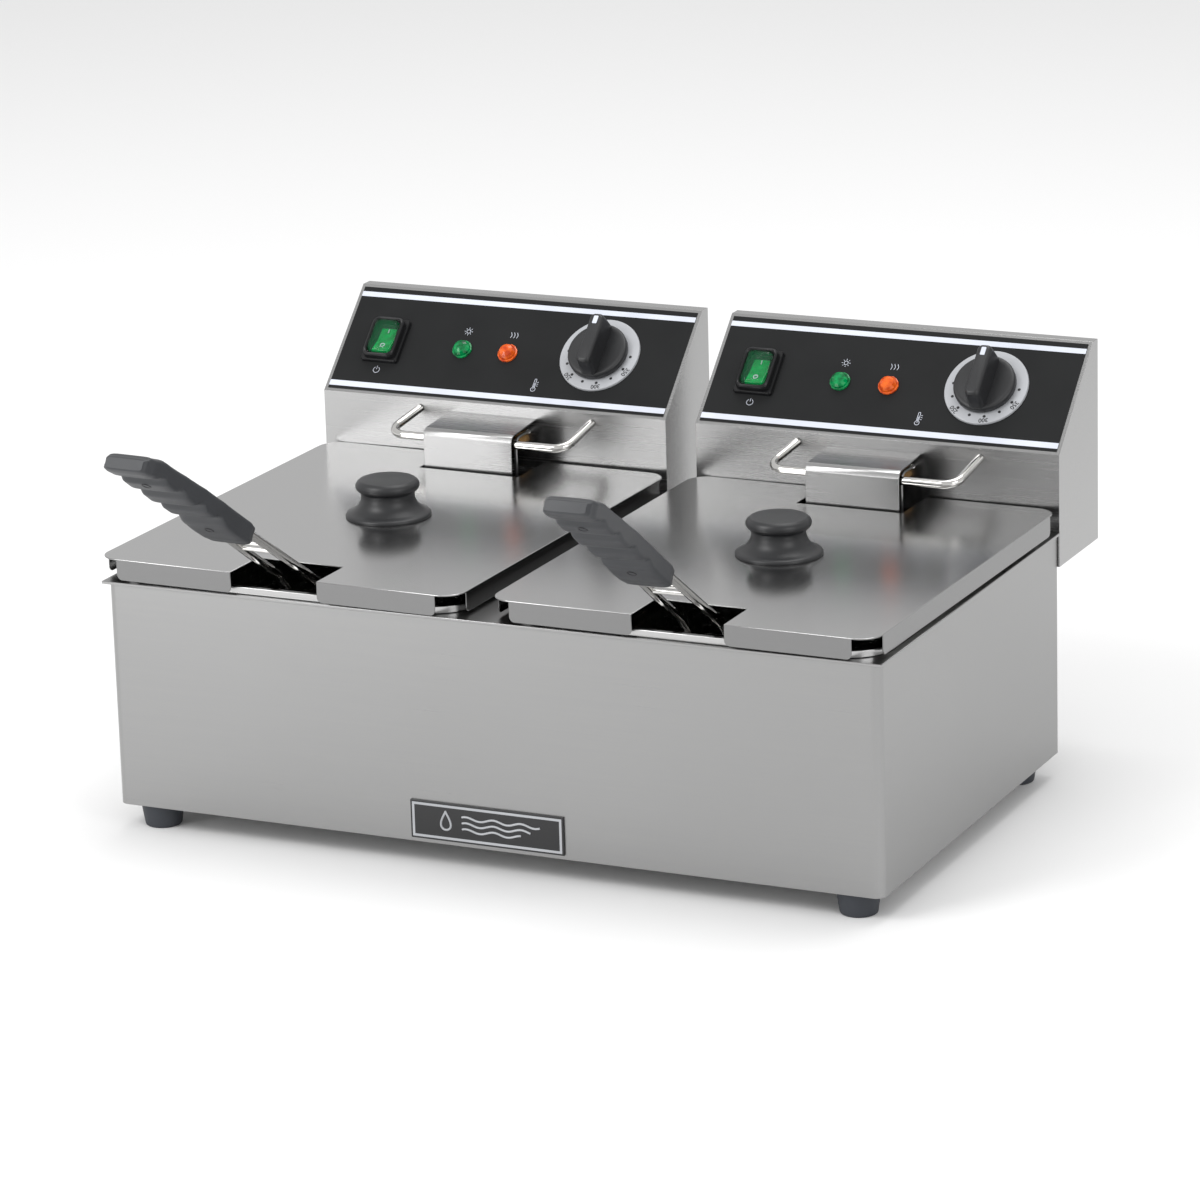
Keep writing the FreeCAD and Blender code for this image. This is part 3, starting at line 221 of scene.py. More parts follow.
MATERIALS = {
    "case_steel": brushed("case_steel", 0.33, 0.30, "x"),
    "pot_steel": brushed("pot_steel", 0.48, 0.20, "y"),
    "head_steel": brushed("head_steel", 0.38, 0.26, "x"),
    # Lid steel: painted shade at half tone on its upright flanges, standing in for the darker surroundings they
    # reflect.
    "lid_steel": brushed("lid_steel", 0.46, 0.19, "y", edge=0.5),
    "nameplate_plastic": moulded("nameplate_plastic", (0.014, 0.014, 0.015), 0.4),
    "foot_rubber": moulded("foot_rubber", (0.030, 0.034, 0.042), 0.6, 900.0),
    "zinc_screw": polished("zinc_screw", (0.6, 0.6, 0.62), 0.3),
    "label_film": moulded("label_film", (0.011, 0.0115, 0.012), 0.45, 2600.0, 0.12, 0.15),
    "switch_plastic": moulded("switch_plastic", (0.008, 0.008, 0.009), 0.32, 1800.0, 0.15, 0.35),
    "rocker_green": jewel("rocker_green", (0.0, 0.12, 0.02), (0.0, 0.30, 0.06), 0.45),
    "clear_boot": clear_film("clear_boot", (0.01, 0.20, 0.07)),
    "lens_green": jewel("lens_green", (0.0, 0.04, 0.012), (0.0, 0.26, 0.07), 0.3),
    "lens_orange": jewel("lens_orange", (0.42, 0.035, 0.004), (0.82, 0.14, 0.015), 0.12),
    "dial_silver": moulded("dial_silver", (0.40, 0.41, 0.43), 0.36, 1500.0, 0.05),
    "thermostat_metal": brushed("thermostat_metal", 0.4, 0.35, "y"),
    "knob_plastic": moulded("knob_plastic", (0.015, 0.0155, 0.017), 0.40),
    "element_sheath": brushed("element_sheath", 0.18, 0.4, "y"),
    "brass_nut": polished("brass_nut", (0.66, 0.38, 0.14), 0.22),
    "chrome_wire": polished("chrome_wire", (0.68, 0.67, 0.65), 0.08),
    "basket_wire": polished("basket_wire", (0.6, 0.59, 0.57), 0.16),
    "terminal_plastic": moulded("terminal_plastic", (0.6, 0.58, 0.52), 0.5),
    "reset_red": moulded("reset_red", (0.4, 0.015, 0.012), 0.35),
    "gland_plastic": moulded("gland_plastic", (0.014, 0.014, 0.016), 0.45),
    "grip_plastic": moulded("grip_plastic", (0.026, 0.028, 0.032), 0.44, 1300.0, 0.22),
    "print_white": moulded("print_white", (0.62, 0.65, 0.73), 0.5, 3000.0, 0.05),
    "print_black": moulded("print_black", (0.012, 0.012, 0.014), 0.5, 3000.0, 0.05),
    "pale_floor": plain("pale_floor", (0.88, 0.88, 0.88), 0.9),
}

for entry in frame["record"]["subparts"]:
    node = frame["nodes"][entry["node"]]
    node.data.materials.clear()
    node.data.materials.append(MATERIALS[entry["material_slot"]])


# ---------------------------------------------------------------- mesh helpers

def finish_piece(piece, body, slot, stands_for=(), smooth=True, angle=35):
    """Give a new piece the material named by a record slot, attach it to its body, and hide the CAD nodes it
    stands for.
    """
    piece.data.materials.clear()
    piece.data.materials.append(MATERIALS[slot])
    if smooth and piece.type == "MESH":
        piece.data.shade_smooth()
        piece.data.set_sharp_from_angle(angle=math.radians(angle))
    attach(piece, body)
    if stands_for:
        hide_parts(*stands_for)
    return piece


def new_mesh(name, verts, faces):
    mesh = bpy.data.meshes.new(name)
    mesh.from_pydata([tuple(v) for v in verts], [], faces)
    mesh.validate()
    piece = bpy.data.objects.new(name, mesh)
    bpy.context.scene.collection.objects.link(piece)
    return piece


def add_bevel(piece, width, segments=2, angle=30):
    bevel = piece.modifiers.new("bevel", "BEVEL")
    bevel.width = width
    bevel.segments = segments
    bevel.limit_method = "ANGLE"
    bevel.angle_limit = math.radians(angle)
    bevel.harden_normals = False
    return piece


def lathe(name, profile, place, steps=96):
    """Turn radius and height pairs about the Z axis of a placing matrix."""
    verts = []
    faces = []
    rings = []
    for radius, height in profile:
        if radius < 1e-7:
            rings.append([len(verts)])
            verts.append(place @ Vector((0, 0, height)))
            continue
        rings.append(list(range(len(verts), len(verts) + steps)))
        for i in range(steps):
            turn = 2 * math.pi * i / steps
            verts.append(place @ Vector((radius * math.cos(turn), radius * math.sin(turn), height)))
    for lower, upper in zip(rings, rings[1:]):
        for i in range(steps):
            j = (i + 1) % steps
            corners = [lower[i % len(lower)], lower[j % len(lower)],
                       upper[j % len(upper)], upper[i % len(upper)]]
            kept = [c for k, c in enumerate(corners) if c not in corners[:k]]
            if len(kept) > 2:
                faces.append(kept)
    return new_mesh(name, verts, faces)


def smooth_profile(points, steps=6):
    """A Catmull-Rom curve through profile points."""
    ends = [points[0]] + list(points) + [points[-1]]
    curve = []
    for a, b, c, d in zip(ends, ends[1:], ends[2:], ends[3:]):
        for i in range(steps):
            t = i / steps
            curve.append(tuple(
                0.5 * (2 * q + (r - p) * t + (2 * p - 5 * q + 4 * r - s) * t * t
                       + (3 * q - p - 3 * r + s) * t ** 3)
                for p, q, r, s in zip(a, b, c, d)))
    curve.append(tuple(points[-1]))
    return [(max(0.0, radius), height) for radius, height in curve]


def softened(node, width, segments=2):
    """A copy of a sheet-metal CAD node with its edges eased, to stand for the node."""
    source = frame["nodes"][node]
    mesh = source.data.copy()
    work = bmesh.new()
    work.from_mesh(mesh)
    bmesh.ops.remove_doubles(work, verts=work.verts, dist=1e-6)
    bmesh.ops.dissolve_limit(work, angle_limit=math.radians(0.5), verts=work.verts, edges=work.edges)
    work.to_mesh(mesh)
    work.free()
    piece = bpy.data.objects.new(node + "_sheet", mesh)
    bpy.context.scene.collection.objects.link(piece)
    add_bevel(piece, width, segments)
    return piece


def bar(name, low, high, place=Matrix.Identity(4), bevel=0.0, segments=2):
    """A block between two corners in a placing matrix, with eased edges."""
    work = bmesh.new()
    bmesh.ops.create_cube(work, size=1.0)
    low, high = Vector(low), Vector(high)
    for vert in work.verts:
        vert.co = place @ Vector([(a + b) / 2 + c * (b - a) for a, b, c in zip(low, high, vert.co)])
    if bevel:
        bmesh.ops.bevel(work, geom=list(work.edges), offset=bevel, segments=segments, affect="EDGES",
                        profile=0.5)
    mesh = bpy.data.meshes.new(name)
    work.to_mesh(mesh)
    work.free()
    piece = bpy.data.objects.new(name, mesh)
    bpy.context.scene.collection.objects.link(piece)
    return piece


def join(name, pieces):
    """Merge pieces, with their modifiers applied, into one mesh."""
    work = bmesh.new()
    for piece in pieces:
        bpy.context.view_layer.update()
        evaluated = piece.evaluated_get(bpy.context.evaluated_depsgraph_get())
        mesh = bpy.data.meshes.new_from_object(evaluated)
        mesh.transform(piece.matrix_world)
        work.from_mesh(mesh)
        bpy.data.meshes.remove(mesh)
        bpy.data.objects.remove(piece)
    mesh = bpy.data.meshes.new(name)
    work.to_mesh(mesh)
    work.free()
    whole = bpy.data.objects.new(name, mesh)
    bpy.context.scene.collection.objects.link(whole)
    return whole


def wire(name, strands, radius, sides=4):
    """Round wires as one mesh, each a list of points, or a (points, True) pair for a closed ring."""
    curve = bpy.data.curves.new(name, "CURVE")
    curve.dimensions = "3D"
    curve.bevel_depth = radius
    curve.bevel_resolution = sides
    curve.use_fill_caps = True
    for strand in strands:
        points, closed = strand if isinstance(strand, tuple) else (strand, False)
        spline = curve.splines.new("POLY")
        spline.points.add(len(points) - 1)
        for knot, point in zip(spline.points, points):
            knot.co = (*point, 1)
        spline.use_cyclic_u = closed
    holder = bpy.data.objects.new(name + "_curve", curve)
    bpy.context.scene.collection.objects.link(holder)
    return join(name, [holder])


def filleted(points, radius, closed=False, steps=8):
    """Points along straight runs with round corners of a radius, for a wire."""
    points = [Vector(p) for p in points]
    count = len(points)
    path = []
    for i, here in enumerate(points):
        if not closed and i in (0, count - 1):
            path.append(here)
            continue
        back = (points[i - 1] - here).normalized()
        ahead = (points[(i + 1) % count] - here).normalized()
        half = back.angle(ahead) / 2
        centre = here + (back + ahead).normalized() * (radius / math.sin(half))
        start = (here + back * (radius / math.tan(half)) - centre).normalized()
        end = (here + ahead * (radius / math.tan(half)) - centre).normalized()
        path += [centre + start.slerp(end, k / steps) * radius for k in range(steps + 1)]
    return path


# ---------------------------------------------------------------- sheet-metal bodies

def sheet_metal():
    """Eased copies of the folded and pressed sheets, so that their edges catch the light."""
    sheets = [("case_shell", "case", "case_steel", 0.0003), ("top_deck", "case", "case_steel", 0.0004),
              ("nameplate", "case", "nameplate_plastic", 0.0003)]
    for side in SIDES:
        sheets += [
            (f"head_shell_{side}", f"head_{side}", "head_steel", 0.0004),
            (f"element_cover_{side}", f"head_{side}", "head_steel", 0.0003),
            (f"lid_plate_{side}", f"lid_{side}", "lid_steel", 0.0004),
            (f"pot_{side}", f"pot_{side}", "pot_steel", 0.0003),
        ]
    for node, body, slot, width in sheets:
        finish_piece(softened(node, width), body, slot, (node,))


# ---------------------------------------------------------------- control panels

DIAL_ACROSS, DIAL_UP, DIAL_OUT = 69.5 * MM, 48 * MM, 10 * MM
SWITCH_ACROSS, SWITCH_UP = -99.6 * MM, 44.8 * MM
PILOT_UP = 43.3 * MM
PILOTS = {"green": -38 * MM, "orange": -1.8 * MM}
FILM = 0.4 * MM
PRINT = 0.06 * MM


def panel(side, across=0.0, up=0.0):
    """A placing matrix on the sloped panel: X across, Y up the slope, Z out of it."""
    dial = joint(f"dial_turn_{side}")
    out = -Vector(dial["axis"]).normalized()
    rise = out.cross(Vector((1, 0, 0)))
    origin = Vector(dial["pos_m"]) - out * DIAL_OUT - rise * DIAL_UP - Vector((DIAL_ACROSS, 0, 0))
    place = Matrix((Vector((1, 0, 0)), rise, out)).transposed().to_4x4()
    place.translation = origin + Vector((across, 0, 0)) + rise * up
    return place


def rounded_rectangle(width, height, radius, steps=6):
    """Corner points of a rounded rectangle about its middle, anticlockwise."""
    points = []
    for quarter, (sx, sy) in enumerate(((1, 1), (-1, 1), (-1, -1), (1, -1))):
        for i in range(steps + 1):
            turn = math.radians(90 * quarter + 90 * i / steps)
            points.append((sx * (width / 2 - radius) + radius * math.cos(turn),
                           sy * (height / 2 - radius) + radius * math.sin(turn)))
    return points


def stack(name, layers, place):
    """A skin over rounded rectangles given as (width, height, radius, level), closed at both ends."""
    verts = []
    faces = []
    count = len(rounded_rectangle(1, 1, 0.1))
    for width, height, radius, level in layers:
        verts += [place @ Vector((x, y, level)) for x, y in rounded_rectangle(width, height, radius)]
    for ring in range(len(layers) - 1):
        for i in range(count):
            j = (i + 1) % count
            faces.append((ring * count + i, ring * count + j, (ring + 1) * count + j, (ring + 1) * count + i))
    faces.append(tuple(reversed(range(count))))
    faces.append(tuple(range((len(layers) - 1) * count, len(layers) * count)))
    return new_mesh(name, verts, faces)


def label_print(side):
    """White rules and small pictograms printed on the overlay."""
    low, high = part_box(f"control_label_{side}")
    half = (high.x - low.x) / 2
    length = math.hypot(high.y - low.y, high.z - low.z)
    first = 2.5 * MM
    place = panel(side)
    bars = []
    for i, (bottom, top) in enumerate(((0.025, 0.076), (0.903, 0.950))):
        bars.append(bar(f"rule_{side}_{i}", (-half, first + bottom * length, FILM),
                        (half, first + top * length, FILM + PRINT), place))
    finish_piece(join(f"label_rules_{side}", bars), f"head_{side}", "print_white", smooth=False)

    def arc(cx, cy, radius, start, end, steps=20):
        turns = [math.radians(start + (end - start) * i / steps) for i in range(steps + 1)]
        return [(cx + radius * math.cos(a), cy + radius * math.sin(a)) for a in turns]

    def wave(cx, cy):
        return [(cx + 0.7 * math.sin(i / 3), cy + 0.42 * i) for i in range(12)]

    across, up = SWITCH_ACROSS / MM, 20.5
    strokes = [arc(across, up, 2.4, 120, 420), [(across, up + 0.4), (across, up + 3.2)]]
    lamp = PILOTS["green"] / MM
    strokes += [arc(lamp, 59, 1.5, 0, 360)]
    strokes += [[(lamp + reach * math.cos(a), 59 + reach * math.sin(a)) for reach in (2.3, 3.3)]
                for a in (math.radians(45 * k) for k in range(8))]
    heat = PILOTS["orange"] / MM
    strokes += [wave(heat + shift, 56.6) for shift in (-2.4, 0, 2.4)]
    bulb = 27.0
    strokes += [arc(bulb, 15.5, 1.7, 115, 425), [(bulb - 0.75, 17), (bulb - 0.75, 23.4)],
                [(bulb + 0.75, 17), (bulb + 0.75, 23.4)], arc(bulb, 23.4, 0.75, 180, 0, 8),
                [(bulb, 15.5), (bulb, 20.6)]]
    strokes += [[(bulb + 1.6, y), (bulb + 2.8, y)] for y in (18.4, 20.0, 21.6)]
    lines = [[place @ Vector((x * MM, y * MM, FILM)) for x, y in stroke] for stroke in strokes]
    finish_piece(wire(f"label_pictograms_{side}", lines, 0.2 * MM, 2), f"head_{side}", "print_white")


def switch(side):
    """Stepped housing with a raised collar, lit rocker with I and O, and the clear boot."""
    place = panel(side, SWITCH_ACROSS, SWITCH_UP)
    flange = stack(f"flange_{side}", [(29 * MM, 36 * MM, 2 * MM, FILM), (29 * MM, 36 * MM, 2 * MM, 2.4 * MM),
                                      (27.6 * MM, 34.6 * MM, 1.6 * MM, 3.4 * MM),
                                      (19.4 * MM, 27.8 * MM, 3.4 * MM, 3.4 * MM),
                                      (19.0 * MM, 27.4 * MM, 3.2 * MM, 0.6 * MM)], place)
    collar = stack(f"collar_{side}", [
        (25.8 * MM, 34.2 * MM, 5 * MM, 2 * MM), (25.0 * MM, 33.4 * MM, 5 * MM, 6.8 * MM),
        (24.0 * MM, 32.4 * MM, 5 * MM, 8.2 * MM), (22.2 * MM, 30.6 * MM, 4.6 * MM, 8.8 * MM),
        (20.4 * MM, 28.8 * MM, 4 * MM, 8.2 * MM), (19.2 * MM, 27.6 * MM, 3.4 * MM, 6.6 * MM),
        (18.8 * MM, 27.2 * MM, 3.2 * MM, 0.4 * MM)], place)
    barrel = bar(f"barrel_{side}", (-10.9 * MM, -15.4 * MM, -22 * MM), (10.9 * MM, 15.4 * MM, 0.2 * MM),
                 place)
    blades = [bar(f"blade_{side}_{x}_{y}", ((x - 2.4) * MM, (y - 0.4) * MM, -30 * MM),
                  ((x + 2.4) * MM, (y + 0.4) * MM, -21 * MM), place) for x in (-5, 5) for y in (-8, 8)]
    finish_piece(join(f"switch_frame_{side}", [flange, collar, barrel] + blades), f"head_{side}",
                 "switch_plastic", (f"switch_housing_{side}",), angle=40)

    axle = Matrix.Translation((0, 0, -3 * MM))
    tilted = place @ axle @ Matrix.Rotation(math.radians(-9), 4, "X") @ axle.inverted()
    paddle = softened(f"switch_rocker_{side}", 0.9 * MM, 3)
    finish_piece(paddle, f"rocker_{side}", "rocker_green", (f"switch_rocker_{side}",), angle=50)
    slope = 1.8 / 12.6
    marks = [[(0, y, 2.35 + slope * y) for y in (5.2, 8.4)],
             [(1.5 * math.cos(a), -6.6 + 1.7 * math.sin(a), 2.35 + slope * (6.6 - 1.7 * math.sin(a)))
              for a in (2 * math.pi * k / 18 for k in range(19))]]
    lines = [[tilted @ (Vector(point) * MM) for point in mark] for mark in marks]
    finish_piece(wire(f"rocker_marks_{side}", lines, 0.45 * MM, 2), f"rocker_{side}", "print_white")
    boot = stack(f"boot_{side}", [
        (18.6 * MM, 27.0 * MM, 3.4 * MM, 5.6 * MM), (18.0 * MM, 26.4 * MM, 3.8 * MM, 8.6 * MM),
        (16.6 * MM, 25.0 * MM, 3.8 * MM, 9.9 * MM), (14.4 * MM, 22.8 * MM, 3.4 * MM, 10.35 * MM)], place)
    finish_piece(boot, f"head_{side}", "clear_boot", (f"switch_boot_{side}",), angle=60)


LENS_PROFILE = [(0, -24), (4.9, -24), (4.9, 0.1), (7.4, 0.3), (7.4, 1.6), (6.6, 2.0), (6.3, 3.4), (4.9, 5.4),
                (2.7, 6.9), (0, 7.2)]


def pilot(side, colour):
    """A faceted jewel lens in a thin seat."""
    place = panel(side, PILOTS[colour], PILOT_UP)
    lens = lathe(f"jewel_{colour}_{side}", [(r * MM, z * MM) for r, z in LENS_PROFILE], place, 14)
    finish_piece(lens, f"head_{side}", f"lens_{colour}", (f"pilot_light_{colour}_{side}",), smooth=False)


def numeral(name, text, height, place):
    """A number as a thin raised print."""
    curve = bpy.data.curves.new(name, "FONT")
    curve.body = text
    curve.size = height
    curve.extrude = PRINT / 2
    curve.offset = 0.09 * MM
    curve.align_x = "CENTER"
    curve.align_y = "CENTER"
    holder = bpy.data.objects.new(name, curve)
    bpy.context.scene.collection.objects.link(holder)
    holder.matrix_world = place
    return holder


RING_TOP = 2.1 * MM
DOT_RADIUS = 1.1 * MM
DOTS_FROM_MIDDLE = 24.2 * MM
NUMERALS_FROM_MIDDLE = 27.2 * MM
DOT_ANGLES = [90 + 26 * i for i in range(8)]
NUMERALS = {118: "350", 169: "300", 222: "250"}


DIAL_DISC_PROFILE = [(3.35, 3), (21.4, 3), (22, 3.6), (22, 7.2), (21.6, 8.2), (20.6, 8.8), (18, 8.4),
                     (3.35, 8.0), (3.35, 3)]


def dial(side):
    """Printed ring, and the knob with its tall bar handle and white index."""
    place = panel(side, DIAL_ACROSS, DIAL_UP)
    ring = lathe(f"ring_{side}", [(6 * MM, FILM), (30 * MM, FILM), (30 * MM, 1.3 * MM), (29.6 * MM, 1.9 * MM),
                                  (28.9 * MM, 2.1 * MM), (6 * MM, 2.1 * MM), (6 * MM, FILM)], place, 128)
    finish_piece(ring, f"head_{side}", "dial_silver", (f"dial_ring_{side}",))
    prints = []
    for angle in DOT_ANGLES:
        spot = place @ Matrix.Rotation(math.radians(-angle), 4, "Z")
        spot = spot @ Matrix.Translation((0, DOTS_FROM_MIDDLE, RING_TOP))
        outline = [(0, 0), (DOT_RADIUS, 0), (DOT_RADIUS, PRINT), (0, PRINT)]
        prints.append(lathe(f"dot_{side}_{angle}", outline, spot, 16))
    for angle, text in NUMERALS.items():
        spot = place @ Matrix.Rotation(math.radians(-angle), 4, "Z")
        spot = spot @ Matrix.Translation((0, NUMERALS_FROM_MIDDLE, RING_TOP))
        prints.append(numeral(f"numeral_{side}_{angle}", text, 4.6 * MM, spot))
    finish_piece(join(f"dial_print_{side}", prints), f"head_{side}", "print_black", smooth=False)

    disc = lathe(f"disc_{side}", [(r * MM, z * MM) for r, z in DIAL_DISC_PROFILE], place, 96)
    bar_layers = [(12.6 * MM, 42.6 * MM, 3.4 * MM, 7.6 * MM), (12.0 * MM, 42.2 * MM, 3.4 * MM, 12 * MM),
                  (10.6 * MM, 41.2 * MM, 3.4 * MM, 21.5 * MM), (9.8 * MM, 40.4 * MM, 3.2 * MM, 23.6 * MM),
                  (8.2 * MM, 38.6 * MM, 2.8 * MM, 24.8 * MM), (6.4 * MM, 36.6 * MM, 2.2 * MM, 25 * MM)]
    handle = stack(f"handle_{side}", bar_layers, place)
    finish_piece(join(f"dial_knob_{side}", [disc, handle]), f"dial_{side}", "knob_plastic",
                 (f"control_knob_{side}",), angle=45)
    tip = place @ Matrix.Translation((0, 14.6 * MM, 25 * MM))
    mark = stack(f"dial_index_{side}", [(3.4 * MM, 6.4 * MM, 0.6 * MM, level) for level in (0, PRINT * 2)], tip)
    finish_piece(mark, f"dial_{side}", "print_white", smooth=False)


def control_panels():
    for side in SIDES:
        label_print(side)
        switch(side)
        pilot(side, "green")
        pilot(side, "orange")
        dial(side)


# ---------------------------------------------------------------- lids' knobs

KNOB_PROFILE = [(29.3, 0), (29.5, 1.0), (28.6, 2.4), (24.5, 4.4), (20.6, 8), (18.6, 12.5), (18.8, 16.5),
                (20.8, 18.4), (22, 20.4), (21.9, 22.6), (20.2, 24.8), (16.5, 25.9), (0, 26)]
KNOB_SCREW_PROFILE = [(0, -4), (5, -4), (5, -1.2), (0, -1.2)]


def lid_knobs():
    for side in SIDES:
        low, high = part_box(f"lid_knob_{side}")
        plate_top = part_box(f"lid_plate_{side}")[1].z
        place = Matrix.Translation(((low.x + high.x) / 2, (low.y + high.y) / 2, plate_top))
        curve = smooth_profile([(r * MM, z * MM) for r, z in KNOB_PROFILE], 5)
        knob = lathe(f"waisted_knob_{side}", [(0, 0)] + curve, place, 96)
        screw = lathe(f"knob_screw_{side}", [(r * MM, z * MM) for r, z in KNOB_SCREW_PROFILE], place, 32)
        finish_piece(join(f"lid_grip_{side}", [knob, screw]), f"lid_{side}", "knob_plastic",
                     (f"lid_knob_{side}",), angle=50)


# ---------------------------------------------------------------- baskets

CASE_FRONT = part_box("case_shell")[0].y
GRIP_LOW = Vector((0, CASE_FRONT - 52 * MM, 234.2 * MM))
GRIP_SLOPE = math.radians(34.4)
HANDLE_PIVOT = CASE_FRONT + 25 * MM
HANDLE_TURN = {"left": math.radians(-2.9), "right": math.radians(0.9)}


def handle_place(side):
    """A placing matrix for a handle drawn in the middle plane, turned about its upright line."""
    spot = Matrix.Translation((side_middle(side), HANDLE_PIVOT, 0))
    return spot @ Matrix.Rotation(HANDLE_TURN[side], 4, "Z") @ Matrix.Translation((0, -HANDLE_PIVOT, 0))


def grip_point(across, along, out):
    """A point from its place across the grip, along it from the lower end, and out of its upper face."""
    ahead = Vector((0, -math.cos(GRIP_SLOPE), math.sin(GRIP_SLOPE)))
    away = Vector((0, math.sin(GRIP_SLOPE), math.cos(GRIP_SLOPE)))
    return GRIP_LOW + Vector((across, 0, 0)) + ahead * along + away * out


def interpolate(table, at):
    """A smooth value between the rows of a table of (place, value)."""
    if at <= table[0][0]:
        return table[0][1]
    for (a, va), (b, vb) in zip(table, table[1:]):
        if at <= b:
            t = (at - a) / (b - a)
            t = t * t * (3 - 2 * t)
            return va + (vb - va) * t
    return table[-1][1]


GRIP_LENGTH = 148.0
TOP_LINE = [(0, 4.2), (3, 5.8), (10, 6.4), (60, 6.4), (128, 4.4), (142, 1.4), (146.5, -1.6), (148, -3.2)]
BOTTOM_LINE = [(0, -5.6), (4, -8.4), (14, -9.2), (24, -9.5), (38, -9.0), (48, -5.6), (57, -8.7), (65, -8.8),
               (72, -5.8), (82, -9.7), (91, -9.5), (99, -6.6), (109, -10.1), (118, -10.0), (124, -7.2),
               (134, -10.4), (143, -11.3), (146.5, -11.0), (148, -10.2)]
HALF_WIDTH = [(0, 13.5), (3, 16.2), (10, 17.4), (100, 17.6), (138, 17.2), (145, 15.8), (148, 14.0)]


WELLS_ALONG = (30.7, 116)
WELL_PROFILE = [(3.3, 0.5), (3.1, 0), (2.5, 0.05), (2.3, 0.6), (0, 0.6)]


def grip(side):
    """A moulded grip in two halves: rounded slab with finger scallops below and a seam round its tip."""
    place = handle_place(side)
    rings = 150
    sides = 56
    verts = []
    faces = []
    for ring in range(rings + 1):
        along = GRIP_LENGTH * ring / rings
        top, bottom = interpolate(TOP_LINE, along), interpolate(BOTTOM_LINE, along)
        half, thick, mid = interpolate(HALF_WIDTH, along), (top - bottom) / 2, (top + bottom) / 2
        for i in range(sides):
            turn = 2 * math.pi * i / sides
            c, s = math.cos(turn), math.sin(turn)
            power = 2 / 6.5
            across = half * math.copysign(abs(c) ** power, c)
            out = mid + thick * math.copysign(abs(s) ** power, s)
            seam = 0.35 * math.exp(-((s * thick) / 0.5) ** 2)
            across -= math.copysign(seam, across) if abs(c) > 0.5 else 0
            verts.append(place @ grip_point(across * MM, along * MM, out * MM))
    for ring in range(rings):
        for i in range(sides):
            j = (i + 1) % sides
            faces.append((ring * sides + i, ring * sides + j, (ring + 1) * sides + j, (ring + 1) * sides + i))
    faces.append(tuple(range(sides)))
    faces.append(tuple(reversed(range(rings * sides, (rings + 1) * sides))))
    body = new_mesh(f"moulded_grip_{side}", verts, faces)
    finish_piece(body, f"basket_{side}", "grip_plastic", (f"handle_grip_{side}",), angle=50)
    wells = []
    for along in WELLS_ALONG:
        floor = interpolate(BOTTOM_LINE, along)
        spot = place @ Matrix.Translation(grip_point(0, along * MM, (floor - 0.35) * MM))
        spot = spot @ Matrix.Rotation(-GRIP_SLOPE, 4, "X")
        profile = [(r * MM, z * MM) for r, z in WELL_PROFILE]
        wells.append(lathe(f"screw_well_{side}_{along:.0f}", profile, spot, 32))
    finish_piece(join(f"grip_screw_wells_{side}", wells), f"basket_{side}", "print_black")


def rectangle(left, front, right, back, level):
    """The corners of a level rectangle, from the front right one, anticlockwise."""
    return [(right, front, level), (right, back, level), (left, back, level), (left, front, level)]


def handle_wires(side):
    """Two handle rods with their cross wires, and the rod round the basket's mouth."""
    place = handle_place(side)
    low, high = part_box(f"basket_mesh_{side}")
    front = CASE_FRONT
    rods = []
    for sign in (-1, 1):
        start = grip_point(sign * 13 * MM, 30 * MM, 0)
        leave = grip_point(sign * 13 * MM, -5 * MM, 0)
        near = sign * 14.5 * MM
        route = [start, leave, (near, front + 24 * MM, 182.9 * MM), (near, front + 35.2 * MM, 172 * MM),
                 (near, front + 35.2 * MM, 92 * MM)]
        rods.append([place @ point for point in filleted(route, 7 * MM)])
    cross = []
    for along in (-20, -33):
        cross.append([place @ grip_point(x * MM, along * MM, 0) for x in (-13, 13)])
    gap = 2.5 * MM
    level = high.z - 2.4 * MM
    mouth = filleted(rectangle(low.x - gap, low.y - gap, high.x + gap, high.y + gap, level), 18.4 * MM,
                     closed=True)
    parts = [wire(f"rods_{side}", rods, 3 * MM, 5), wire(f"cross_{side}", cross, 1.6 * MM, 4),
             wire(f"mouth_{side}", [(mouth, True)], 2.4 * MM, 4)]
    finish_piece(join(f"basket_rods_{side}", parts), f"basket_{side}", "chrome_wire",
                 (f"basket_frame_{side}",), angle=60)


MESH_PITCH = 6.5 * MM
MESH_WIRE = 0.6 * MM


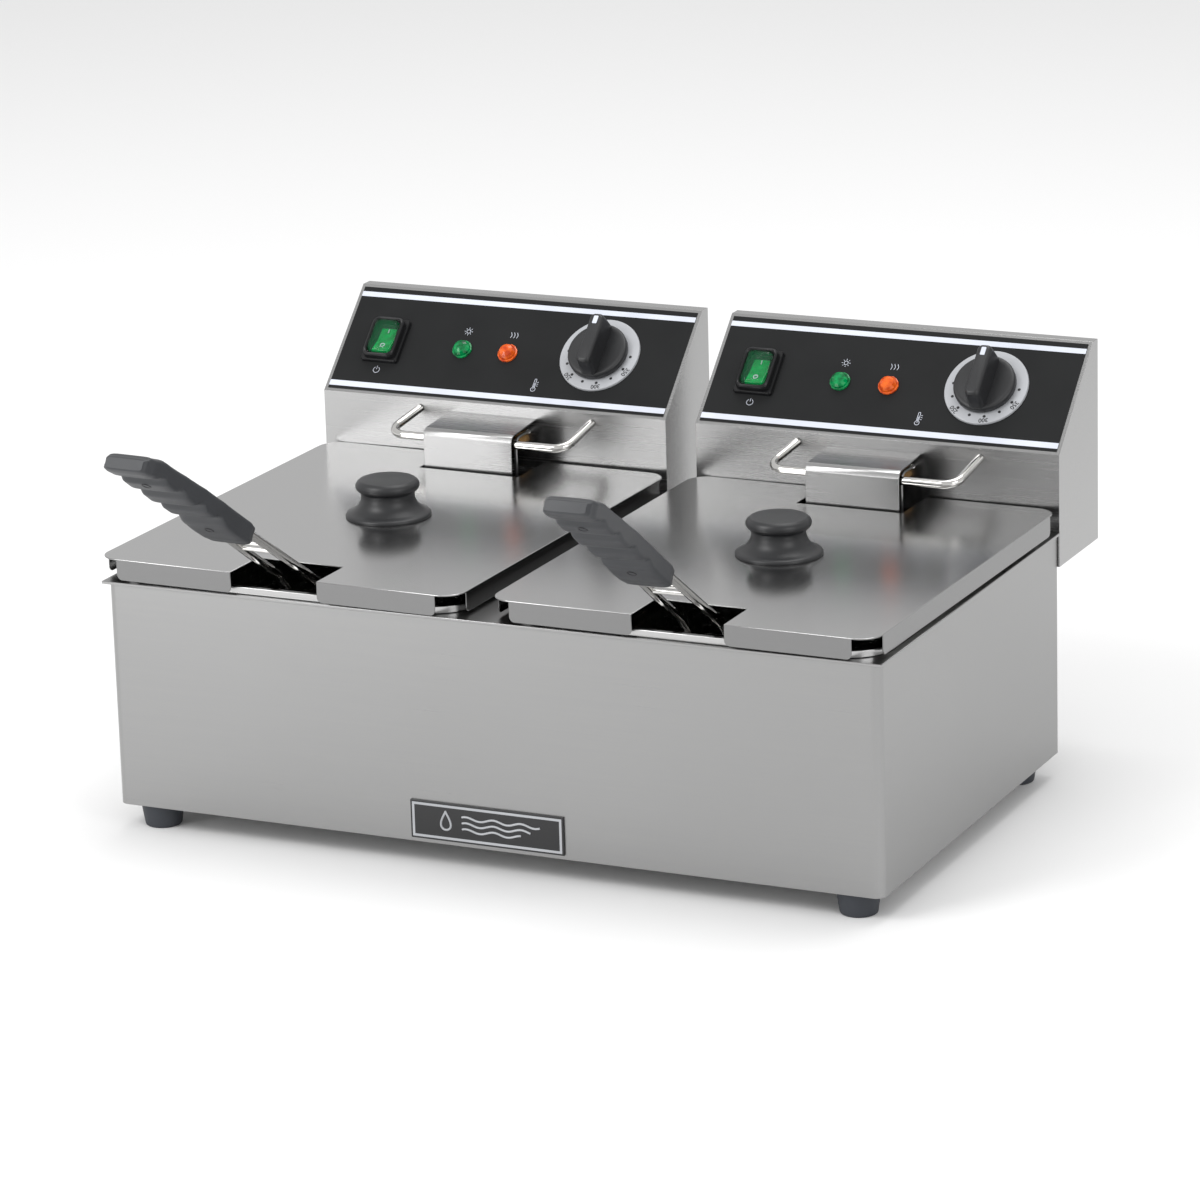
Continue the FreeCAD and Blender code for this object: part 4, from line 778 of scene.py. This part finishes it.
def basket_wires(side):
    """Wire cloth: hoops both ways under and up the walls, and level rings round them."""
    low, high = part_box(f"basket_mesh_{side}")
    inset = Vector((MESH_WIRE, MESH_WIRE, MESH_WIRE))
    low, high = low + inset, high - inset
    hoops = []
    bend = 9 * MM
    for axis in (0, 1):
        other = 1 - axis
        count = int((high[other] - low[other] - 34 * MM) / MESH_PITCH)
        start = (low[other] + high[other]) / 2 - count * MESH_PITCH / 2
        for i in range(count + 1):
            at = start + i * MESH_PITCH
            corners = []
            near, far = low[axis], high[axis]
            for along, z in ((near, high.z), (near, low.z), (far, low.z), (far, high.z)):
                point = [0, 0, z + (0.4 * MM if axis else 0)]
                point[axis], point[other] = along, at
                corners.append(point)
            hoops.append(filleted(corners, bend, steps=4))
    rings = []
    levels = int((high.z - low.z - 10 * MM) / MESH_PITCH)
    for i in range(levels + 1):
        z = high.z - i * MESH_PITCH
        rings.append((filleted(rectangle(low.x, low.y, high.x, high.y, z), 15 * MM, closed=True, steps=5), True))
    corner = []
    for sx, sy in ((1, 1), (1, -1), (-1, 1), (-1, -1)):
        cx = (high.x if sx > 0 else low.x) - sx * 15 * MM
        cy = (high.y if sy > 0 else low.y) - sy * 15 * MM
        for turn in (22, 45, 68):
            a = math.radians(turn)
            x, y = cx + sx * 15 * MM * math.cos(a), cy + sy * 15 * MM * math.sin(a)
            corner.append([(x, y, high.z), (x, y, low.z + 10 * MM),
                           (x - sx * 6 * MM * math.cos(a), y - sy * 6 * MM * math.sin(a), low.z)])
    cloth = wire(f"wire_cloth_{side}", hoops + rings + corner, MESH_WIRE, 1)
    finish_piece(cloth, f"basket_{side}", "basket_wire", (f"basket_mesh_{side}",), angle=80)


HANGER_RADIUS = 3 * MM
HANGER_SHIFT = 10 * MM
HANGER_LEAN = 7 * MM
HANGER_ROOT_HALF, HANGER_BAR_HALF = 67.6 * MM, 70 * MM
HANGER_ROOT_HEIGHT = 222 * MM


def hangers():
    """The rod each basket hangs on to drain."""
    for side in SIDES:
        low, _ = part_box(f"basket_hanger_{side}")
        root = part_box(f"head_shell_{side}")[0].y
        bar_y, bar_z = low.y + HANGER_RADIUS, low.z + HANGER_RADIUS
        centre = side_middle(side) + HANGER_SHIFT
        left, right = centre - HANGER_LEAN - HANGER_BAR_HALF, centre - HANGER_LEAN + HANGER_BAR_HALF
        route = filleted([(centre - HANGER_ROOT_HALF, root, HANGER_ROOT_HEIGHT), (left, bar_y, bar_z),
                          (right, bar_y, bar_z), (centre + HANGER_ROOT_HALF, root, HANGER_ROOT_HEIGHT)],
                         11 * MM)
        finish_piece(wire(f"hanger_rod_{side}", [route], HANGER_RADIUS, 6), f"head_{side}", "chrome_wire",
                     (f"basket_hanger_{side}",), angle=60)


# ---------------------------------------------------------------- nameplate

def badge():
    """A raised black plate with a silver border and a plain droplet and wave motif."""
    low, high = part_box("nameplate")
    centre = (low + high) / 2
    place = Matrix.Translation((centre.x, low.y, centre.z)) @ Matrix.Rotation(math.pi / 2, 4, "X")
    half_w, half_h = (high.x - low.x) / 2, (high.z - low.z) / 2
    edge, rule, proud = 1.3 * MM, 1.7 * MM, 0.05 * MM
    bars = []
    for i, (x0, y0, x1, y1) in enumerate((
            (-half_w + edge, half_h - edge - rule, half_w - edge, half_h - edge),
            (-half_w + edge, -half_h + edge, half_w - edge, -half_h + edge + rule),
            (-half_w + edge, -half_h + edge + rule, -half_w + edge + rule, half_h - edge - rule),
            (half_w - edge - rule, -half_h + edge + rule, half_w - edge, half_h - edge - rule))):
        bars.append(bar(f"badge_rule_{i}", (x0, y0, 0), (x1, y1, proud), place))
    drop = []
    for i in range(28):
        a = 2 * math.pi * i / 28
        squeeze = math.sin(a / 2) ** 1.5
        across, up = -30 * MM + 5.2 * MM * math.sin(a) * squeeze, (1.2 + 6.4 * math.cos(a)) * MM
        drop.append(place @ Vector((across, up, 0)))
    strokes = [(drop, True)]
    for row in range(3):
        y = (4.2 - 4.2 * row) * MM
        strokes.append([place @ Vector((x * MM, y + 1.1 * MM * math.sin(x / 3.2), 0))
                        for x in range(-18, 40 - 7 * row)])
    motif = wire("badge_motif_lines", strokes, 0.75 * MM, 2)
    finish_piece(join("badge_motif", bars + [motif]), "case", "dial_silver", smooth=False)


# ---------------------------------------------------------------- stage, light and camera

CAMERA_PLACE = (1.5116, -3.1155, 1.1794)
CAMERA_AZIMUTH = -25.486
CAMERA_DIP = 16.417
CAMERA_ROLL = -1.706
CAMERA_LENS = 161.617
CAMERA_SHIFT = (0.00652, -0.00362)


def camera():
    turn, dip, roll = (math.radians(a) for a in (CAMERA_AZIMUTH, CAMERA_DIP, CAMERA_ROLL))
    ahead = Vector((math.sin(turn) * math.cos(dip), math.cos(turn) * math.cos(dip), -math.sin(dip)))
    level = Vector((math.cos(turn), -math.sin(turn), 0))
    up = level.cross(ahead)
    right = level * math.cos(roll) + up * math.sin(roll)
    top = up * math.cos(roll) - level * math.sin(roll)
    data = bpy.data.cameras.new("camera")
    data.lens = CAMERA_LENS
    data.sensor_width = 36
    data.shift_x, data.shift_y = CAMERA_SHIFT
    data.clip_end = 50
    holder = bpy.data.objects.new("camera", data)
    holder.matrix_world = Matrix((right, top, -ahead)).transposed().to_4x4()
    holder.location = CAMERA_PLACE
    bpy.context.scene.collection.objects.link(holder)
    bpy.context.scene.camera = holder


def area_light(name, place, target, width, height, power):
    data = bpy.data.lights.new(name, "AREA")
    data.shape = "RECTANGLE"
    data.size = width
    data.size_y = height
    data.energy = power
    holder = bpy.data.objects.new(name, data)
    holder.location = place
    holder.rotation_euler = (Vector(target) - Vector(place)).to_track_quat("-Z", "Y").to_euler()
    bpy.context.scene.collection.objects.link(holder)


def stage():
    floor = new_mesh("floor", [(-8, -8, 0), (8, -8, 0), (8, 8, 0), (-8, 8, 0)], [(0, 1, 2, 3)])
    floor.data.materials.append(MATERIALS["pale_floor"])
    area_light("key_light", (-1.6, -2.2, 2.6), (0, 0, 0.15), 1.6, 1.6, 50)
    area_light("fill_light", (2.6, -1.2, 1.4), (0, 0, 0.15), 1.5, 1.5, 18)
    area_light("low_card", (-1.25, -1.9, 0.45), (-0.15, -0.3, 0.1), 0.7, 0.9, 9)
    area_light("top_light", (0.2, 0.9, 3.0), (0, 0, 0.1), 2.0, 1.6, 34)
    world = bpy.data.worlds.new("studio")
    world.use_nodes = True
    background = world.node_tree.nodes["Background"]
    background.inputs["Color"].default_value = (1.0, 1.0, 1.0, 1)
    background.inputs["Strength"].default_value = 0.75
    bpy.context.scene.world = world
    bpy.context.scene.view_settings.view_transform = "Standard"


sheet_metal()
control_panels()
lid_knobs()
for side in SIDES:
    grip(side)
    handle_wires(side)
    basket_wires(side)
hangers()
badge()
stage()
camera()
